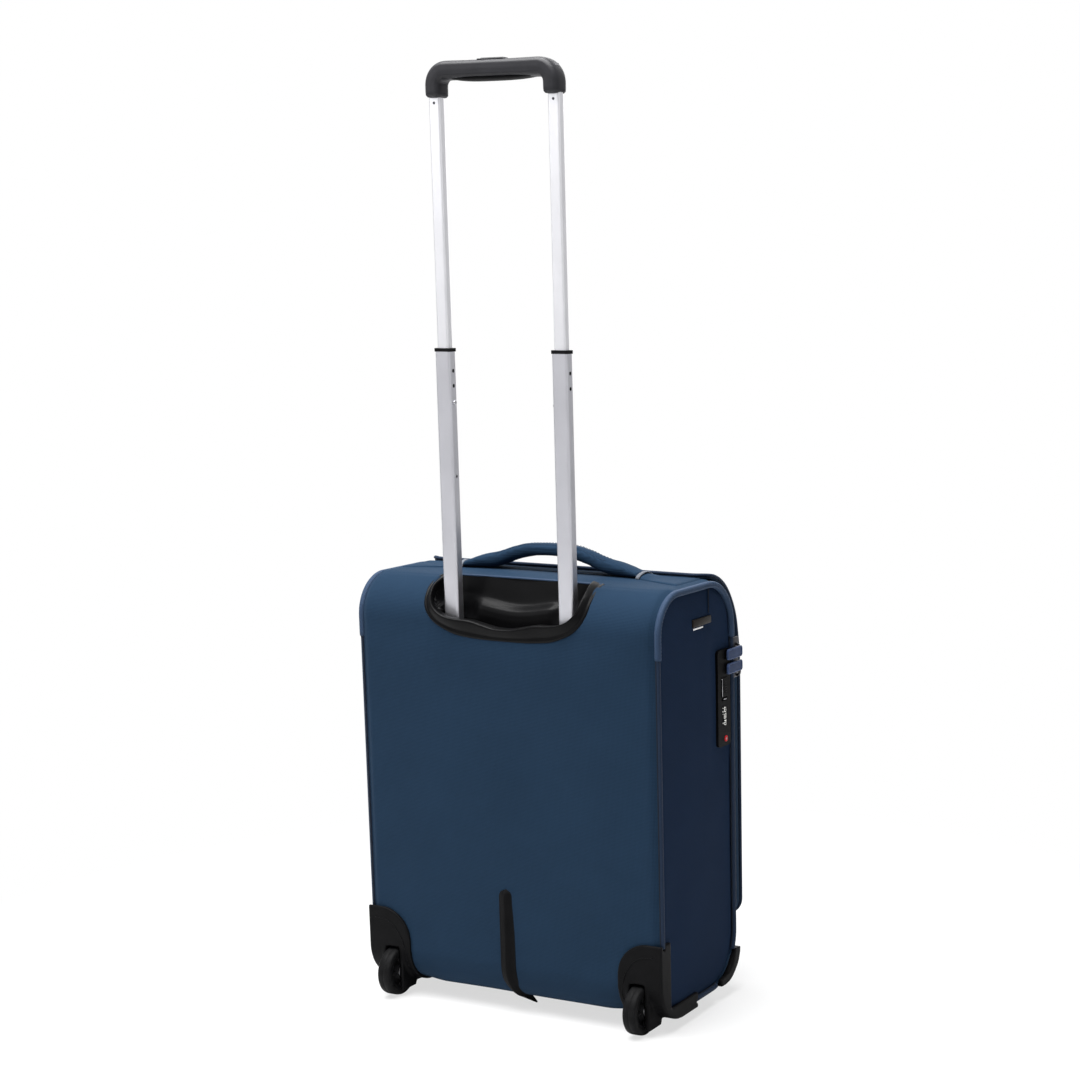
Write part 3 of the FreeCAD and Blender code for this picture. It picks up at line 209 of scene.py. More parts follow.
def plastic(name, colour, rough=0.42, grain=0.25, edge=0.5, shine=0.07):
    """Moulded plastic with a fine leather-like grain and paler edges, partly wear and partly a painted
    highlight.
    """
    s = Shader(name)
    place = s.place()
    pebbles = s.node("ShaderNodeTexVoronoi", Scale=1.3)
    s.link(place, pebbles.inputs["Vector"])
    fine = s.noise(place, 2.6, 3, 0.6)
    drift = s.noise(place, 0.05, 3)
    # sharp edges painted paler: partly wear, partly a painted highlight along the rounded edges
    wear_and_edge_highlight = s.ramp(s.node("ShaderNodeNewGeometry").outputs["Pointiness"], 0.53, 0.62)
    base = s.cloudy(drift, colour, 0.15)
    s.set("Base Color", s.mix(s.times(wear_and_edge_highlight, edge), base, shade(colour, 2.2, 0.004)))
    s.set("Roughness", s.add(s.times(fine, 0.16), rough - 0.08))
    s.set("Specular IOR Level", shine)
    s.bump(s.add(s.times(pebbles.outputs["Distance"], 0.7), fine), grain, 0.00015)
    return s.material


def metal(name, colour, rough=0.3, brushed=2):
    """Drawn or brushed metal: long streaks along one axis and small colour drift."""
    s = Shader(name)
    place = s.place()
    stretched = s.node("ShaderNodeVectorMath", operation="MULTIPLY")
    s.link(place, stretched.inputs[0])
    squeeze = [2.2, 2.2, 2.2]
    squeeze[brushed] = 0.012
    stretched.inputs[1].default_value = squeeze
    streaks = s.noise(stretched.outputs[0], 1.0, 4, 0.65)
    drift = s.noise(place, 0.02, 2)
    s.set("Base Color", s.mix(s.ramp(drift, 0.3, 0.7), shade(colour, 0.94), colour))
    s.set("Metallic", 1.0)
    s.set("Roughness", s.add(s.times(streaks, 0.22), rough - 0.1))
    s.bump(streaks, 0.06, 0.0001)
    return s.material


def rubber(name, colour):
    """Dull tyre rubber with fine dust in its pores and a scuffed tread."""
    s = Shader(name)
    place = s.place()
    fine = s.noise(place, 1.5, 4, 0.7)
    scuff = s.ramp(s.noise(place, 0.12, 4, 0.6), 0.45, 0.75)
    s.set("Specular IOR Level", 0.07)
    s.set("Base Color", s.mix(s.times(scuff, 0.5), colour, shade(colour, 2.0, 0.006)))
    s.set("Roughness", s.add(s.times(fine, 0.3), 0.42))
    s.bump(fine, 0.25, 0.0002)
    return s.material


NAVY = rgb(27, 44, 62)
MATERIALS = {
    "navy_fabric": woven("navy_weave", NAVY),
    # painted shade: the sides use a darker copy of the navy weave, standing for the shade that falls on them
    "shaded_side_fabric": woven("side_weave_painted_shade", rgb(23, 36, 56), contrast=0.25, relief=0.25, sheen=0.0),
    "soft_fabric": woven("soft_weave", NAVY, layout="object"),
    "piping": ribbed("cord_cover", rgb(26, 38, 56), pitch=1.4, sheen=0.03),
    "binding": ribbed("binding_tape", rgb(42, 58, 80), pitch=1.2, sheen=0.03),
    "webbing": ribbed("strap_webbing", rgb(28, 32, 38), pitch=2.2),
    "thread": ribbed("sewing_thread", rgb(32, 46, 66), pitch=0.5),
    "seam": ribbed("seam_shadow", rgb(14, 20, 30), pitch=1.0, sheen=0.05),
    "lining": woven("lining_twill", rgb(88, 92, 98), pitch=5.5, layout="object", contrast=0.12, relief=0.12),
    "board": plastic("pressed_board", rgb(70, 62, 52), rough=0.7, grain=0.6),
    "black_plastic": plastic("moulded_black", rgb(14, 14, 15), rough=0.46, grain=0.3, shine=0.035),
    "cup_plastic": plastic("cup_black", rgb(9, 9, 10), rough=0.31, grain=0.1, shine=0.06),
    "grip_plastic": plastic("grip_black", rgb(36, 36, 39), rough=0.4, grain=0.18, shine=0.18),
    "gloss_plastic": plastic("gloss_black", rgb(6, 6, 7), rough=0.42, grain=0.05, shine=0.03),
    "aluminium": metal("anodised_tube", rgb(203, 203, 209), rough=0.36),
    "bright_tube": metal("bright_tube", rgb(236, 236, 240), rough=0.36),
    "steel": metal("zinc_steel", rgb(176, 176, 180), rough=0.3, brushed=0),
    "dark_steel": metal("dark_steel", rgb(74, 74, 78), rough=0.4, brushed=0),
    # edge=0.9 makes the tab's rims much paler: partly wear, mostly a painted highlight along its rims
    "puller": plastic("puller_enamel", rgb(47, 60, 88), rough=0.34, grain=0.1, edge=0.9),
    "tyre": rubber("tyre_rubber", rgb(11, 11, 12)),
    "zip": ribbed("zip_tape", rgb(24, 30, 40), pitch=1.6),
    "teeth": plastic("zip_teeth", rgb(30, 36, 46), rough=0.3, grain=0.05),
    "tag_metal": metal("tag_plate", rgb(38, 34, 31), rough=0.45, brushed=1),
    "clamp": plastic("grey_clamp", rgb(96, 100, 107), rough=0.5, grain=0.1, edge=0),
    "bright": metal("bright_strip", rgb(222, 222, 224), rough=0.22, brushed=1),
    "dial": plastic("dial_black", rgb(14, 14, 15), rough=0.35, grain=0.08),
    "digits": plastic("digit_white", rgb(226, 226, 220), rough=0.4, grain=0.05, edge=0),
    "key_red": plastic("key_red", rgb(170, 30, 34), rough=0.25, grain=0.03),
}


# ---------------------------------------------------------------- mesh helpers
def piece(name, points, faces, material, body=None, slot=None, replaces=(), uv=None, outward=True):
    """A mesh from points in millimetres. uv gives each point its place on the unrolled surface."""
    mesh = bpy.data.meshes.new(name)
    mesh.from_pydata([tuple(c * MM for c in p) for p in points], [], [tuple(f) for f in faces])
    if uv is not None:
        layer = mesh.uv_layers.new(name="unrolled")
        index = np.empty(len(mesh.loops), np.int32)
        mesh.loops.foreach_get("vertex_index", index)
        layer.data.foreach_set("uv", np.asarray(uv, np.float32)[index].ravel())
    work = bmesh.new()
    work.from_mesh(mesh)
    bmesh.ops.delete(work, geom=[v for v in work.verts if not v.link_faces], context="VERTS")
    if outward:
        bmesh.ops.recalc_face_normals(work, faces=work.faces[:])
    work.to_mesh(mesh)
    work.free()
    obj = place_object(name, mesh)
    mesh.materials.append(MATERIALS[material])
    shade_smooth(mesh)
    if body:
        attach(obj, body)
    if replaces:
        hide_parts(*replaces)
    return obj


def place_object(name, data):
    obj = bpy.data.objects.new(name, data)
    bpy.context.scene.collection.objects.link(obj)
    return obj


def shade_smooth(mesh):
    mesh.polygons.foreach_set("use_smooth", [True] * len(mesh.polygons))


def flat_layout(points, first=1):
    """Layout of a small form: its points seen along one axis, as (y, z), or as (x, z) with first 0."""
    return [(p[first], p[2]) for p in points]


def grid_faces(rows, columns, close_rows=False, close_columns=False, drop=None):
    """Quads of a grid whose point (i, j) is number i * columns + j."""
    faces = []
    for i in range(rows if close_rows else rows - 1):
        for j in range(columns if close_columns else columns - 1):
            if drop and drop(i, j):
                continue
            this, following = i * columns, ((i + 1) % rows) * columns
            right = (j + 1) % columns
            faces.append((this + j, this + right, following + right, following + j))
    return faces


def end_caps(rows, columns):
    """The two faces that close a tube made of a grid."""
    last = (rows - 1) * columns
    return [tuple(range(columns))[::-1], tuple(last + j for j in range(columns))]


def run_length(path):
    """Distance from the start of a path at each of its points."""
    steps = np.linalg.norm(np.diff(np.asarray(path, float), axis=0), axis=1)
    return np.concatenate([[0], np.cumsum(steps)])


def interpolate(spots, places, path):
    """Points of a path at some spots, where places are those of its own points."""
    return np.stack([np.interp(spots, places, column) for column in np.asarray(path, float).T], 1)


def close_path(path):
    return np.concatenate([path, path[:1]])


def unit(vectors):
    """Each row scaled to length one."""
    return vectors / np.maximum(np.linalg.norm(vectors, axis=1), 1e-9)[:, None]


def resample(path, step, closed=False):
    """Points at even distances along a path."""
    path = np.asarray(path, float)
    if closed:
        path = close_path(path)
    run = run_length(path)
    count = max(2, int(round(run[-1] / step)) + 1)
    spots = np.linspace(0, run[-1], count)
    return interpolate(spots[:-1] if closed else spots, run, path)


def spline(points, step):
    """A smooth curve through points, sampled at even distances."""
    points = np.asarray(points, float)
    ends = np.concatenate([[2 * points[0] - points[1]], points, [2 * points[-1] - points[-2]]])
    out = []
    for a, b, c, d in zip(ends, ends[1:], ends[2:], ends[3:]):
        for t in np.linspace(0, 1, 12, endpoint=False):
            square = (2 * a - 5 * b + 4 * c - d) * t * t
            cube = (3 * b - a - 3 * c + d) * t ** 3
            out.append(0.5 * (2 * b + (c - a) * t + square + cube))
    out.append(points[-1])
    return resample(out, step)


def arc(centre, radius, start, turn=90, count=8):
    """Points of an arc about a centre, from a start angle through a turn, both in degrees."""
    angles = [math.radians(start + turn * k / count) for k in range(count + 1)]
    return [(centre[0] + radius * math.cos(a), centre[1] + radius * math.sin(a)) for a in angles]


def rounded_rectangle(low, high, radius, count, first=0):
    """Outline of a rectangle with round corners. It begins at the corner of the given quarter."""
    left, bottom = low[0] + radius, low[1] + radius
    right, top = high[0] - radius, high[1] - radius
    corners = ((right, top), (left, top), (left, bottom), (right, bottom))
    outline = []
    for quarter in ((first + k) % 4 for k in range(4)):
        outline += arc(corners[quarter], radius, 90 * quarter, count=count)
    return outline


def smoothstep(value, low, high):
    t = np.clip((np.asarray(value, float) - low) / (high - low), 0, 1)
    return t * t * (3 - 2 * t)


def sheet(name, grid, material, body=None, drop=None, thick=0.0, close_rows=False, flip=False, **more):
    """A surface from rows of points, with its unrolled layout. thick adds depth inwards."""
    grid = np.asarray(grid, float)
    rows, columns = grid.shape[:2]
    along = run_length(grid[:, columns // 2])
    across = run_length(grid[rows // 2])
    uv = np.stack(np.meshgrid(across, along), -1).reshape(-1, 2)
    faces = grid_faces(rows, columns, close_rows=close_rows, drop=drop)
    if flip:
        faces = [f[::-1] for f in faces]
    obj = piece(name, grid.reshape(-1, 3), faces, material, body, uv=uv, outward=False, **more)
    if thick:
        solid = obj.modifiers.new("depth", "SOLIDIFY")
        solid.thickness = thick * MM
        solid.offset = -1
    return obj


def frames_along(path, closed, up=None):
    """Side and normal at each point of a path. up keeps the normal near a given direction."""
    if closed:
        tangent = np.roll(path, -1, 0) - np.roll(path, 1, 0)
    else:
        tangent = np.gradient(path, axis=0)
    tangent = unit(tangent)
    if up is None:
        previous = np.array([0, 0, 1.0]) if abs(tangent[0][2]) < 0.9 else np.array([0, 1.0, 0])
        normals = []
        for t in tangent:
            n = previous - t * (previous @ t)
            previous = n / np.linalg.norm(n)
            normals.append(previous)
        normal = np.array(normals)
    else:
        normal = np.broadcast_to(np.asarray(up, float), path.shape).copy()
        normal -= tangent * (normal * tangent).sum(1)[:, None]
        normal = unit(normal)
    return np.cross(tangent, normal), normal


def sweep(path, section, closed=False, up=None, scale=None):
    """Points, faces and layout of a closed section, (side, normal) pairs, carried along a path."""
    path = np.asarray(path, float)
    side, normal = frames_along(path, closed, up)
    section = np.asarray(section, float)
    size = np.ones((len(path), 2)) if scale is None else np.asarray(scale, float)
    sideways = side[:, None] * (section[None, :, 0] * size[:, :1])[..., None]
    upwards = normal[:, None] * (section[None, :, 1] * size[:, 1:2])[..., None]
    points = path[:, None] + sideways + upwards
    faces = grid_faces(len(path), len(section), close_rows=closed, close_columns=True)
    if not closed:
        faces += end_caps(len(path), len(section))
    uv = np.stack(np.meshgrid(run_length(section), run_length(path)), -1).reshape(-1, 2)
    return points.reshape(-1, 3), faces, uv


def ellipse(width, height, count=12, power=1.0):
    """A rounded section. A power below 1 makes it squarer."""
    turn = np.linspace(0, 2 * math.pi, count, endpoint=False)
    across, up = (np.sign(part) * np.abs(part) ** power for part in (np.cos(turn), np.sin(turn)))
    return np.stack([across * width / 2, up * height / 2], 1)


def join(parts):
    """Several (points, faces, uv) as one."""
    points, faces, uv = [], [], []
    start = 0
    for part_points, part_faces, part_uv in parts:
        points.append(np.asarray(part_points, float))
        faces += [tuple(i + start for i in face) for face in part_faces]
        uv.append(np.asarray(part_uv, float))
        start += len(part_points)
    return np.concatenate(points), faces, np.concatenate(uv)


def merged(name, parts, material, body=None, **more):
    points, faces, uv = join(parts)
    return piece(name, points, faces, material, body, uv=uv, **more)


def cord(name, path, section, material, body=None, closed=False, up=None, scale=None, **more):
    return merged(name, [sweep(path, section, closed, up, scale)], material, body, **more)


STITCH = 2.6            # length of a stitch
STITCH_GAP = 1.6
STITCH_THICK = 0.55


def stitch_parts(path, lift):
    """A row of raised thread stitches along a path. lift is the direction out of the fabric."""
    path = resample(path, STITCH + STITCH_GAP)
    tangent = unit(np.gradient(path, axis=0))
    lift = np.broadcast_to(np.asarray(lift, float), path.shape)
    bow = ((-0.5, -0.35), (-0.25, 0.25), (0.25, 0.25), (0.5, -0.35))
    ring = ellipse(STITCH_THICK, STITCH_THICK, 5)
    parts = []
    for centre, t, up in zip(path, tangent, lift):
        line = [centre + t * STITCH * a + up * STITCH_THICK * b for a, b in bow]
        parts.append(sweep(line, ring, up=up))
    return parts


def rounded_box(low, high, radius, segments=3):
    """Points, faces and layout of a box with rounded edges."""
    work = bmesh.new()
    bmesh.ops.create_cube(work, size=1)
    low, high = Vector(low), Vector(high)
    for v in work.verts:
        v.co = Vector((low[k] + (v.co[k] + 0.5) * (high[k] - low[k]) for k in range(3)))
    bmesh.ops.bevel(work, geom=work.edges[:], offset=radius, segments=segments, profile=0.5, affect="EDGES")
    points = [tuple(v.co) for v in work.verts]
    faces = [tuple(v.index for v in f.verts) for f in work.faces]
    work.free()
    return points, faces, flat_layout(points)


def block(name, low, high, radius, material, body, **more):
    return merged(name, [rounded_box(low, high, radius)], material, body, **more)


def subdivide(obj, levels=1, kind="CATMULL_CLARK"):
    sub = obj.modifiers.new("smooth", "SUBSURF")
    sub.subdivision_type = kind
    sub.levels = sub.render_levels = levels


def remesh(obj, voxel):
    modifier = obj.modifiers.new("remesh", "REMESH")
    modifier.mode = "VOXEL"
    modifier.voxel_size = voxel * MM


def apply_modifiers(obj):
    graph = bpy.context.evaluated_depsgraph_get()
    mesh = bpy.data.meshes.new_from_object(obj.evaluated_get(graph))
    obj.modifiers.clear()
    old = obj.data
    obj.data = mesh
    bpy.data.meshes.remove(old)


def finish_node(node, material):
    """Give a hard CAD node its finish. Its mesh stays as it is."""
    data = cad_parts[node].data
    for index in range(len(data.materials)):
        data.materials[index] = MATERIALS[material]
    if not data.materials:
        data.materials.append(MATERIALS[material])


def bevel_node(node, width, material):
    """Soften the edges of a hard CAD node with modifiers and give it its finish."""
    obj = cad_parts[node]
    weld = obj.modifiers.new("weld", "WELD")
    weld.merge_threshold = 0.00001
    if width:
        bevel = obj.modifiers.new("bevel", "BEVEL")
        bevel.width = width * MM
        bevel.segments = 3
        bevel.limit_method = "ANGLE"
        bevel.angle_limit = math.radians(30)
    finish_node(node, material)


def soft_copy(name, nodes, material, body, voxel, passes, extra, replaces):
    """A moulded look-alike of hard nodes: their solids and extra closed forms merged, then smoothed."""
    work = bmesh.new()
    for node in nodes:
        work.from_mesh(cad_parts[node].data)
    for points, faces in extra:
        made = [work.verts.new([c * MM for c in p]) for p in points]
        for f in faces:
            work.faces.new([made[k] for k in f])
    bmesh.ops.remove_doubles(work, verts=work.verts[:], dist=0.00001)
    mesh = bpy.data.meshes.new(name)
    work.to_mesh(mesh)
    work.free()
    obj = place_object(name, mesh)
    remesh(obj, voxel)
    soften = obj.modifiers.new("soften", "SMOOTH")
    soften.iterations = passes
    soften.factor = 0.5
    apply_modifiers(obj)
    shade_smooth(obj.data)
    obj.data.materials.clear()
    obj.data.materials.append(MATERIALS[material])
    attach(obj, body)
    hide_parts(*replaces)


def tapered(low_z, high_z, low_x, high_x, low_y, high_y):
    """A closed block whose lower end is smaller than its upper end. Ends are (min, max) pairs."""
    points = []
    for z, (x0, x1), (y0, y1) in ((low_z, low_x, low_y), (high_z, high_x, high_y)):
        points += [(x0, y0, z), (x1, y0, z), (x1, y1, z), (x0, y1, z)]
    return points, [(0, 3, 2, 1), (4, 5, 6, 7), (0, 1, 5, 4), (1, 2, 6, 5), (2, 3, 7, 6), (3, 0, 4, 7)]


def prism(outline, x0, x1):
    """A (y, z) outline carried between two x planes, as a closed form."""
    count = len(outline)
    points = [(x, y, z) for x in (x0, x1) for y, z in outline]
    faces = [(j, (j + 1) % count, count + (j + 1) % count, count + j) for j in range(count)]
    return points, faces + end_caps(2, count)


def turned(name, profile, x, y, z, material, body, nodes, count=72):
    """A form turned about a line along x. The closed profile holds (distance along x, radius) pairs."""
    points = []
    for k in range(count):
        a = 2 * math.pi * k / count
        points += [(x + dx, y + r * math.cos(a), z + r * math.sin(a)) for dx, r in profile]
    faces = grid_faces(count, len(profile), close_rows=True, close_columns=True)
    piece(name, points, faces, material, body, uv=flat_layout(points, 0), replaces=nodes)


# ---------------------------------------------------------------- outlines of the case
# rounded corners of the case seen from its side: centre y, centre z, radius, first angle
LOW_REAR = (50, 61, 45, -90)
HIGH_REAR = (45, 463, 50, 0)
HIGH_FRONT = (-28, 451, 62, 90)
LOW_FRONT = (-26, 80, 64, 180)
CORNERS = (LOW_REAR, HIGH_REAR, HIGH_FRONT, LOW_FRONT)
MIDDLE_Z = 250


def case_loop(step=3.0):
    """Side outline of the case as rows (y, z, outward y, outward z), from the bottom round the back."""
    rows = []
    for corner, following in zip(CORNERS, CORNERS[1:] + CORNERS[:1]):
        cy, cz, radius, start = corner
        count = max(8, int(radius * math.pi / 2 / step))
        for i in range(count + 1):
            a = math.radians(start + 90 * i / count)
            rows.append((cy + radius * math.cos(a), cz + radius * math.sin(a), math.cos(a), math.sin(a)))
        end = np.array(rows[-1])
        next_y, next_z, next_radius, next_start = following
        a = math.radians(next_start)
        after = np.array([next_y + next_radius * math.cos(a), next_z + next_radius * math.sin(a)])
        straight = after - end[:2]
        steps = max(1, int(np.linalg.norm(straight) / step))
        for i in range(1, steps):
            y, z = end[:2] + straight * i / steps
            rows.append((y, z, end[2], end[3]))
    return np.array(rows)


LOOP = case_loop()
LOOP_Y, LOOP_Z = LOOP[:, 0], LOOP[:, 1]


def loop_at(x, offset, rows=LOOP):
    """The side outline, moved outwards, as points on one x plane."""
    x = np.broadcast_to(np.asarray(x, float), (len(rows),))
    return np.stack([x, rows[:, 0] + rows[:, 2] * offset, rows[:, 1] + rows[:, 3] * offset], 1)


def back_surface(x, z, lift=0.0):
    """A point on the back or its rounded ends, found by x and height and lifted off the fabric."""
    upper = z > MIDDLE_Z
    cy, cz, radius, _ = HIGH_REAR if upper else LOW_REAR
    beyond = max(0, z - cz) if upper else min(0, z - cz)
    a = math.asin(np.clip(beyond / radius, -1, 1))
    return np.array([x, cy + radius * math.cos(a) + lift * math.cos(a), z + lift * math.sin(a)])


# half of the handle cup's rim and of the lip inside it, as (x, z) on the back of the case
CUP_OUTER = ((109, 512.8), (110.5, 511.2), (111.8, 505), (111.3, 495), (109.6, 483), (103, 471.5),
             (90, 460.5), (66, 450.8), (40, 447.5), (20, 446.8), (0, 446.7))
CUP_LIP = ((94.5, 512.7), (97.2, 509.5), (100, 504), (100.8, 497), (98.3, 486), (91, 477), (79, 471),
           (62, 468.3), (45, 467.3), (28, 464), (12, 460.9), (0, 460.4))


def cup_curve(half, count=161):
    """One outline of the cup from its right end to its left end."""
    left = [(-x, z) for x, z in half[::-1] if x > 0]
    dense = spline(list(half) + left, 1.0)
    return interpolate(np.linspace(0, len(dense) - 1, count), np.arange(len(dense)), dense)


OUTER, LIP = cup_curve(CUP_OUTER), cup_curve(CUP_LIP)


def lower_run(half, top):
    """Heights of the lower part of a cup outline, as sorted x and z."""
    return np.array(sorted((x, z) for x, z in half if z < top)).T


OUTER_LOWER = lower_run(CUP_OUTER, 496)
LIP_LOWER = lower_run(CUP_LIP, 500)


def inside_cup(x, z):
    """True well inside the rim of the handle cup."""
    return abs(x) < 107 and z > np.interp(abs(x), *OUTER_LOWER) + 4


# ---------------------------------------------------------------- padded fabric of the case
def padding(x, y, z):
    """How far the padded band stands out between its two corded edges."""
    across = np.abs(x) / HALF_WIDTH
    roll = smoothstep(1 - across, 0, 0.05) * 3.6 - 3.2
    crown = (1 - across ** 2.6) * np.where(y > 60, 2.2, 1.0)
    low = 0.35 + 0.65 * smoothstep(z, 60, 220)
    near_cup = np.exp(-((np.abs(x) / 130) ** 6)) * np.exp(-(((z - 470) / 34) ** 4)) * (y > 30)
    return roll + crown * low * (1 - 0.9 * near_cup)


def case_band():
    """The padded band that runs round the bottom, back and top, open at the front for the lid."""
    rim = np.array([HALF_WIDTH, 197, 195.5, 193.5, 191.3, LID_OPENING])
    columns = np.concatenate([-rim, np.arange(-186, 187, 4.0), rim[::-1]])
    grid = np.zeros((len(LOOP), len(columns), 3))
    for i, (y, z, ny, nz) in enumerate(LOOP):
        lift = padding(columns, y, z)
        if z > 512.5 or y < -80 or z < 17:
            lift = lift * 0.4
        # between the wheels the lower rear edge hangs a little
        sag = 2.6 * smoothstep(z, 52, 24) * smoothstep(y, -5, 40)
        lift = lift + sag * smoothstep(np.abs(columns), 146, 112)
        ripple = np.array([noise.noise(Vector((x * 0.012, y * 0.012, z * 0.012 + 7))) for x in columns])
        lift = lift + ripple * 0.8 * smoothstep(1 - np.abs(columns) / HALF_WIDTH, 0.02, 0.12)
        grid[i] = np.stack([columns, y + ny * lift, z + nz * lift], 1)

    def drop(i, j):
        x = (columns[j] + columns[min(j + 1, len(columns) - 1)]) / 2
        y, z = (LOOP[i] + LOOP[(i + 1) % len(LOOP)])[:2] / 2
        lid_opening = y < -36 and z > 91 and abs(x) < LID_OPENING
        cup_opening = y > 50 and z > 400 and inside_cup(x, z)
        wheel_well = 157 < abs(x) < 182 and y > 57 and z < 62
        return lid_opening or cup_opening or wheel_well

    sheet("case_band", grid, "navy_fabric", "case", drop=drop, thick=3.6, close_rows=True, flip=True,
          replaces=["case_shell"])


def side_panel(side, sign):
    """One side of the case, slightly crowned, drawn in at its seam. The left one is flat by the lock."""
    outline = loop_at(0, -5.2)[:, 1:]
    core = np.stack([np.full(len(outline), 1.0), np.clip(outline[:, 1], 100, 430)], 1)
    rings = np.concatenate([[0, 0.02, 0.045, 0.08, 0.12, 0.17], np.linspace(0.23, 1, 18)])
    grid = np.zeros((len(rings), len(outline), 3))
    for k, t in enumerate(rings):
        p = outline * (1 - t) + core * t
        y, z = p.T
        rise = -1.6 + 1.9 * smoothstep(t, 0, 0.1) + 2.0 * smoothstep(t, 0.02, 0.9)
        if sign < 0:
            by_lock = smoothstep(42 - np.abs(y + 62), 0, 26) * smoothstep(90 - np.abs(z - 369), 0, 34)
            rise = rise * (1 - 0.95 * by_lock)
            flap = smoothstep(-y, 27.2, 29.5) * smoothstep(z, 452, 482) * smoothstep(t, 0.0, 0.1)
            rise = rise + 1.5 * flap
        ripple = np.array([noise.noise(Vector((sign * 3.1, a * 0.013, b * 0.011))) for a, b in p])
        rise = rise + 0.7 * ripple * min(1, t * 4)
        grid[k] = np.stack([sign * (HALF_WIDTH + rise), y, z], 1)

    def lock_opening(i, j):
        _, y, z = grid[i, j]
        return sign < 0 and -77.5 < y < -51.2 and 312.5 < z < 422

    faces = grid_faces(*grid.shape[:2], close_columns=True, drop=lock_opening)
    if sign > 0:
        faces = [f[::-1] for f in faces]
    # the side fabric is painted shade: a darker copy of the navy weave
    piece(f"side_panel_{side}", grid.reshape(-1, 3), faces, "shaded_side_fabric", "case",
          uv=grid[..., 1:].reshape(-1, 2))


def corded_edges():
    """The cord sewn into both long seams, the tape bound over its upper part, and its stitching."""
    above_guards = np.where(LOOP_Y > 0, LOOP_Z >= 106, LOOP_Z >= 53)
    between_guards = (LOOP_Z < 17.5) & (LOOP_Y > -54) & (LOOP_Y < 16)
    taped = np.flatnonzero(LOOP_Z > 438)
    tape_rows = LOOP[taped[0]:taped[-1] + 1]
    clear = tape_rows[(tape_rows[:, 0] > -70) | (tape_rows[:, 1] > 458)]
    # name, x plane, offset from the outline of the case, section, finish, nodes replaced
    cords = (
        ("piping", 199.3, -4.7, ellipse(5.8, 5.8, 14), "piping", ["side_piping"]),
        ("seam_groove", 198.6, -8.0, ellipse(1.3, 1.5, 6), "seam", []),
        ("seam_line", 198.2, -2.0, ellipse(1.2, 1.3, 6), "seam", []),
    )
    for side, sign in SIDES:
        outwards = (sign, 0, 0)
        for part, rows in (("upper", LOOP[above_guards]), ("lower", LOOP[between_guards])):
            for name, x, offset, section, finish, nodes in cords:
                cord(f"{name}_{side}_{part}", loop_at(sign * x, offset, rows), section, finish, "case",
                     up=outwards, replaces=nodes)
        size = np.ones((len(tape_rows), 2))
        size[0] = size[-1] = 0.93
        tape = loop_at(sign * 199.6, -4.9, tape_rows)
        cord(f"binding_{side}", tape, ellipse(8.0, 7.4, 14, 0.82), "binding", "case", up=outwards, scale=size)
        outer_row = resample(loop_at(sign * 200.2, -1.3, tape_rows), STITCH + STITCH_GAP)
        nearest = np.linspace(0, len(tape_rows) - 1, len(outer_row)).astype(int)
        lift = np.insert(tape_rows[nearest, 2:], 0, 0, axis=1)
        parts = stitch_parts(loop_at(sign * 203.2, -6.0, clear), outwards) + stitch_parts(outer_row, lift)
        merged(f"binding_stitches_{side}", parts, "thread", "case")


def top_crown(x):
    """How far the top panel rises between its edges."""
    return 0.5 * (1 - (x / 190) ** 2)


def back_details():
    """Seams that show on the top, the flap that covers the zip there and the seam beside it."""
    for index, y in enumerate((-33.5, -12.5)):
        path = [(x, y, 513.5 + top_crown(x)) for x in np.arange(-186, 187, 4)]
        cord(f"top_seam_{index}", path, ellipse(1.3, 1.0, 6), "seam", "case")
    section = ((-34, -0.4), (-33.2, 0.6), (-29, 1.2), (-24, 1.4), (-18, 1.2), (-13.6, 0.6), (-12.8, -0.4))
    grid = []
    for y, lift in section:
        row = []
        for x in np.arange(-188, 189, 4):
            end = smoothstep(188 - abs(x), 0, 10)
            row.append((x, y, 513.2 + lift * end + top_crown(x)))
        grid.append(row)
    sheet("zip_flap", grid, "soft_fabric", "case", flip=True)
    path = [(-200.3 - 0.3 * math.sin(z * 0.1), -28.2, z) for z in np.arange(476, 508, 2.0)]
    cord("side_seam", path, ellipse(1.1, 1.3, 6), "seam", "case", up=(-1, 0, 0))


# ---------------------------------------------------------------- handle cup
CUP_TOP = 512.9


def cup_rim():
    """Moulded rim round the handle tubes: proud of the fabric, with a groove and a rolled inner edge."""
    section = ((0.0, -1.5), (0.0, 0.9), (0.05, 2.0), (0.14, 2.7), (0.24, 2.6), (0.31, 1.9), (0.38, 2.2),
               (0.5, 3.6), (0.66, 5.0), (0.82, 6.2), (0.93, 6.9), (1.0, 6.8), (1.06, 5.6), (1.09, 2.5),
               (1.10, -2.0), (1.11, -6.5))
    rows = []
    for outer, lip in zip(OUTER, LIP):
        at_side = 0.72 + 0.28 * smoothstep(abs(outer[0]), 40, 95)
        row = []
        for inwards, lift in section:
            x, z = outer * (1 - inwards) + lip * inwards
            mouth = 1 - 0.38 * smoothstep(z, 498, 511)
            height = lift * at_side * mouth if lift > 0 else lift
            row.append(back_surface(x, min(z, CUP_TOP), height))
        rows.append(row)
    rim = sheet("cup_rim", rows, "cup_plastic", "case", replaces=["handle_cup"], flip=True)
    subdivide(rim)


# depth of the hollow's wall, as heights z and places y: between the tubes, and beside them
SHOULDER = np.array(((450, 71.6), (470, 71.4), (477, 70.8), (481, 69), (483.5, 66.3), (485.5, 63),
                     (487.5, 60.4), (490, 58.6), (494, 57.4), (502, 55.5), (514.3, 52.3))).T
BESIDE = np.array(((450, 68.9), (466, 68.5), (469, 67.0), (473, 65.2), (476, 64.2), (480, 63.2),
                   (484, 61.8), (488, 60.0), (494, 57.4), (502, 55.5), (514.3, 52.3))).T


